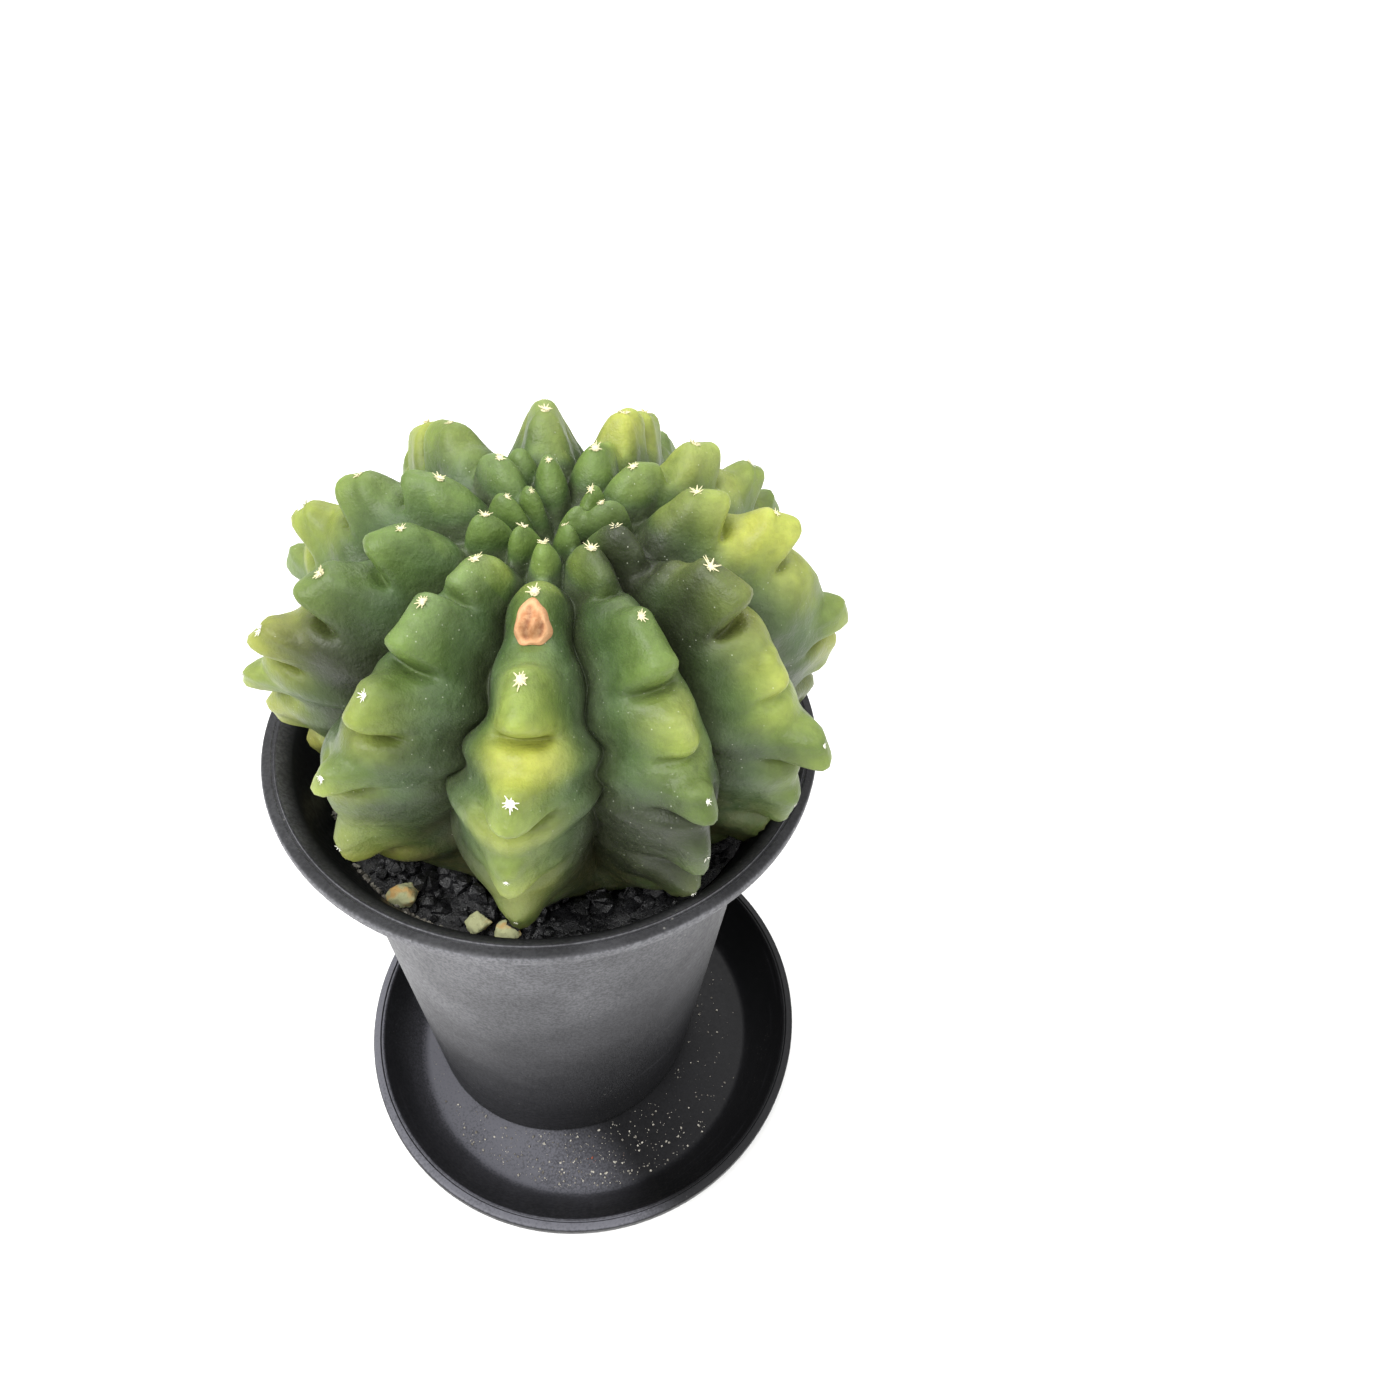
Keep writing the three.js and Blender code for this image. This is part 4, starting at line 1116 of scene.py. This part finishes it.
class CACTUS_OT_soil(bpy.types.Operator):
    """Models the soil's uneven surface and heaps grit on it"""

    bl_idname = "cactus.soil"
    bl_label = "Soil and grit"

    def execute(self, context):
        scene = context.scene
        soil, pot, stem = scene.cactus_soil, scene.cactus_pot, scene.cactus_stem
        lava = crushed_lava(soil)
        self.bed(soil, pot, stem, lava)
        self.grit(soil, pot, stem, lava)
        self.pale(soil)
        return {"FINISHED"}

    @staticmethod
    def bed(soil, pot, stem, lava):
        """The packed soil: a closed plug whose top is a fine disc, hollowed under the stem."""
        top = POT_HIGH.z - soil.below_rim

        def inner(height):
            clear_of_wall = 0.0003
            return float(pot_radius(pot, height - POT_LOW.z)) - pot.wall - clear_of_wall

        low, collar, ring_count = POT_LOW.z + 0.0046, POT_LOW.z + pot.collar, 60
        sides = [(pot.foot - pot.wall - 0.0015, low)]
        sides += [(inner(height), height) for height in (low + 0.002, collar, top - 0.001)]
        rings = [(inner(top) * (1 - k / ring_count), top) for k in range(ring_count)]
        piece = turned(POT_AXIS.x, POT_AXIS.y, sides + rings, 200)
        points = get_points(piece)
        world = points + np.array(piece.location)
        away = np.hypot(world[:, 0] - POT_AXIS.x, world[:, 1] - POT_AXIS.y)
        surface = world[:, 2] > top - 0.0001
        lumps = np.array([
            0.9 * noise.noise(Vector(p) / 0.005) + 0.45 * noise.noise(Vector(p) / 0.0022)
            for p in world])
        height = top + soil.dome * (1 - away / inner(top)) + lumps * MM
        from_stem = np.hypot(world[:, 0] - POT_AXIS.x - stem.offset_x,
                             world[:, 1] - POT_AXIS.y - stem.offset_y)
        round_off = np.sqrt(np.clip(1 - (from_stem / stem.radius) ** 2, 0, 1))
        clear_of_stem = 0.0012
        hollow = POT_LOW.z + stem.height - stem.bottom * round_off - clear_of_stem
        points[:, 2] = np.where(surface, np.minimum(height, hollow), world[:, 2]) - piece.location.z
        set_points(piece, points)
        settle(piece, "soil_bed_top", lava, smooth=60, replaces=["soil_bed"])

    @staticmethod
    def grit(soil, pot, stem, lava):
        """Crushed stones lying on each other between the stem and the wall."""
        inner_edge, stem_edge = 0.031, 0.0335
        rng = random.Random(8)
        bases = [rough_stone(rng, 1.0, 2) for _ in range(7)]
        top = POT_HIGH.z - soil.below_rim
        wall = float(pot_radius(pot, top - POT_LOW.z)) - pot.wall
        stones = []
        for _ in range(soil.stones):
            size = rng.choice((rng.uniform(0.0012, 0.0024), rng.uniform(0.0022, 0.0048)))
            angle = rng.uniform(0, 2 * math.pi)
            away = math.sqrt(rng.uniform(inner_edge ** 2, (wall - size * 0.62) ** 2))
            x, y = around_pot(away, angle)
            from_stem = math.hypot(x - POT_AXIS.x - stem.offset_x, y - POT_AXIS.y - stem.offset_y)
            if from_stem < stem_edge:
                continue
            rise = rng.uniform(0.0, 0.5) * size + soil.dome * (1 - away / wall)
            stones.append(scattered(rng, bases, (x, y, top + rise), size))
        remove(*bases)
        settle(join(stones), "lava_grit", lava, smooth=20, replaces=GRIT)

    @staticmethod
    def pale(soil):
        """The pale stones, each standing for its own solid."""
        rng = random.Random(21)
        pumice = filmed_pumice(soil)
        for name in PALE_STONES:
            low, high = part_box(name)
            stone = rough_stone(rng, 1.0, 3, subdivisions=2)
            sub = stone.modifiers.new("round", "SUBSURF")
            sub.levels = sub.render_levels = 2
            apply_modifiers(stone)
            points = get_points(stone)
            rough = [1 + 0.10 * noise.noise(Vector(p) * 5 + Vector((len(name), 0, low.x * 99)))
                     + 0.05 * noise.noise(Vector(p) * 13) for p in points]
            points = points * np.array(rough)[:, None]
            span = points.max(0) - points.min(0)
            centre = (points.max(0) + points.min(0)) / 2
            grown, sunk = 1.02, Vector((0, 0, 0.0004))
            set_points(stone, (points - centre) / span * np.array(high - low) * grown)
            stone.location = middle(name) - sunk
            settle(stone, name.replace("stone", "chip"), pumice, smooth=60,
                   replaces=[name])


class CACTUS_OT_dust(bpy.types.Operator):
    """Scatters loose mineral grains on the saucer's floor and at the soil's edge"""

    bl_idname = "cactus.dust"
    bl_label = "Loose grains"

    def execute(self, context):
        scene = context.scene
        rng = random.Random(17)
        bases = [rough_stone(rng, 1.0, 1) for _ in range(4)]
        mineral = mineral_dust()
        grains = self.on_saucer(scene.cactus_saucer, scene.cactus_pot, bases, rng)
        settle(join(grains), "saucer_grains", mineral, smooth=20)
        crust = self.on_wall(scene.cactus_soil, scene.cactus_pot, bases, rng)
        settle(join(crust), "lime_crust", mineral, smooth=20)
        remove(*bases)
        return {"FINISHED"}

    @staticmethod
    def on_saucer(saucer, pot, bases, rng):
        grains, floor_edge = [], 0.0465
        while len(grains) < saucer.grains:
            size = 0.00022 + 0.0006 * rng.random() ** 4
            # Most grains have gathered at the front and the front left.
            away = floor_edge * math.sqrt(rng.random())
            angle = rng.choice((rng.uniform(0, 2 * math.pi), rng.gauss(-1.7, 0.5),
                                rng.gauss(-1.9, 0.5)))
            x, y = away * math.cos(angle), away * math.sin(angle)
            if math.hypot(x - POT_AXIS.x, y - POT_AXIS.y) < pot.foot + 0.0006:
                continue
            grains.append(scattered(rng, bases, (x, y, saucer.floor + size * 0.3), size))
        return grains

    @staticmethod
    def on_wall(soil, pot, bases, rng):
        """Dried lime along the wall just above the soil, mostly at the front left."""
        grains, count = [], 260
        for _ in range(count):
            azimuth = math.radians(rng.gauss(-40, 28))
            height = POT_HEIGHT - soil.below_rim + rng.uniform(0.0, 0.0022) * rng.random()
            size = 0.0004 + 0.0008 * rng.random() ** 2
            away = float(pot_radius(pot, height)) - pot.wall - size * 0.35
            spot = (POT_AXIS.x + away * math.sin(azimuth), POT_AXIS.y - away * math.cos(azimuth),
                    POT_LOW.z + height)
            grains.append(scattered(rng, bases, spot, size))
        return grains


class CACTUS_OT_stage(bpy.types.Operator):
    """Sets the camera, the soft lights and the plain floor"""

    bl_idname = "cactus.stage"
    bl_label = "Stage"

    def execute(self, context):
        stage = context.scene.cactus_stage
        self.camera(context.scene, stage)
        self.floor(stage)
        self.lights(context.scene)
        context.scene.view_settings.view_transform = "Standard"
        return {"FINISHED"}

    @staticmethod
    def camera(scene, stage):
        bpy.ops.object.camera_add()
        camera = added()
        camera.name = "camera"
        cos_pitch = math.cos(stage.pitch)
        ahead = Vector((math.sin(stage.yaw) * cos_pitch, math.cos(stage.yaw) * cos_pitch,
                        -math.sin(stage.pitch)))
        right = Vector((math.cos(stage.yaw), -math.sin(stage.yaw), 0))
        tilt = Matrix.Rotation(-stage.roll, 3, ahead)
        right = tilt @ right
        up = right.cross(ahead)
        turn = Matrix((right, up, -ahead)).transposed().to_4x4()
        spot = Vector((POT_AXIS.x, POT_AXIS.y - stage.back, POT_LOW.z + stage.up))
        camera.matrix_world = Matrix.Translation(spot) @ turn
        camera.data.sensor_width = 36
        camera.data.lens = stage.lens
        camera.data.clip_start = 0.01
        scene.camera = camera

    @staticmethod
    def floor(stage):
        deselect_all()
        bpy.ops.mesh.primitive_plane_add(size=60, location=(0, 0, 0))
        floor = added()
        floor.name = "floor"
        floor.data.materials.append(matt_paper(stage))

    @staticmethod
    def lights(scene):
        target = Vector((0, 0, 0.1))
        for name, spot, size, power in (
                ("key_softbox", (-0.55, -0.35, 0.95), 0.7, 13),
                ("fill_softbox", (0.75, -0.45, 0.7), 0.9, 3.5),
                ("back_softbox", (0.1, 0.9, 0.9), 0.8, 4.5)):
            bpy.ops.object.light_add(type="AREA", location=spot)
            light = added()
            light.name = name
            light.data.energy, light.data.size = power, size
            light.rotation_euler = (target - Vector(spot)).to_track_quat("-Z", "Y").to_euler()
        world = bpy.data.worlds.new("white_room")
        world.use_nodes = True
        tree = world.node_tree
        # A soft white ceiling: brightest overhead, dimmer towards the horizon.
        up = add_node(tree, "SeparateXYZ", [add_node(tree, "TexCoord", out="Generated")], out="Z")
        glow = add_node(tree, "MapRange", [up, 0.0, 1.0, 0.45, 1.75], **SMOOTH)
        connect(tree.nodes["Background"], {"Color": (1, 1, 1, 1), "Strength": glow})
        scene.world = world


class CACTUS_PT_panel(bpy.types.Panel):
    """Lists the pieces in the order in which they are made"""

    bl_label = "Potted round cactus"
    bl_idname = "CACTUS_PT_panel"
    bl_space_type = "VIEW_3D"
    bl_region_type = "UI"
    bl_category = "Cactus"

    def draw(self, context):
        for operator, name in STEPS:
            self.layout.operator(operator)
            for key in getattr(context.scene, name).bl_rna.properties.keys():
                if key not in ("rna_type", "name"):
                    self.layout.prop(getattr(context.scene, name), key)


STEPS = (
    ("cactus.stage", "cactus_stage"), ("cactus.saucer", "cactus_saucer"),
    ("cactus.pot", "cactus_pot"), ("cactus.soil", "cactus_soil"), ("cactus.stem", "cactus_stem"),
    ("cactus.wool", "cactus_wool"), ("cactus.scar", "cactus_scar"),
    ("cactus.dust", "cactus_saucer"),
)
GROUPS = {
    "cactus_stem": StemProps, "cactus_wool": WoolProps, "cactus_scar": ScarProps,
    "cactus_pot": PotProps, "cactus_saucer": SaucerProps, "cactus_soil": SoilProps,
    "cactus_stage": StageProps,
}
CLASSES = (
    *GROUPS.values(), CACTUS_OT_stem, CACTUS_OT_wool, CACTUS_OT_scar, CACTUS_OT_pot,
    CACTUS_OT_saucer, CACTUS_OT_soil, CACTUS_OT_dust, CACTUS_OT_stage, CACTUS_PT_panel,
)


def register():
    for cls in CLASSES:
        bpy.utils.register_class(cls)
    for name, group in GROUPS.items():
        setattr(bpy.types.Scene, name, PointerProperty(type=group))


def unregister():
    for name in GROUPS:
        delattr(bpy.types.Scene, name)
    for cls in reversed(CLASSES):
        bpy.utils.unregister_class(cls)


def main():
    register()
    for operator, _ in STEPS:
        group, name = operator.split(".")
        getattr(getattr(bpy.ops, group), name)()


if __name__ == "__main__":
    main()
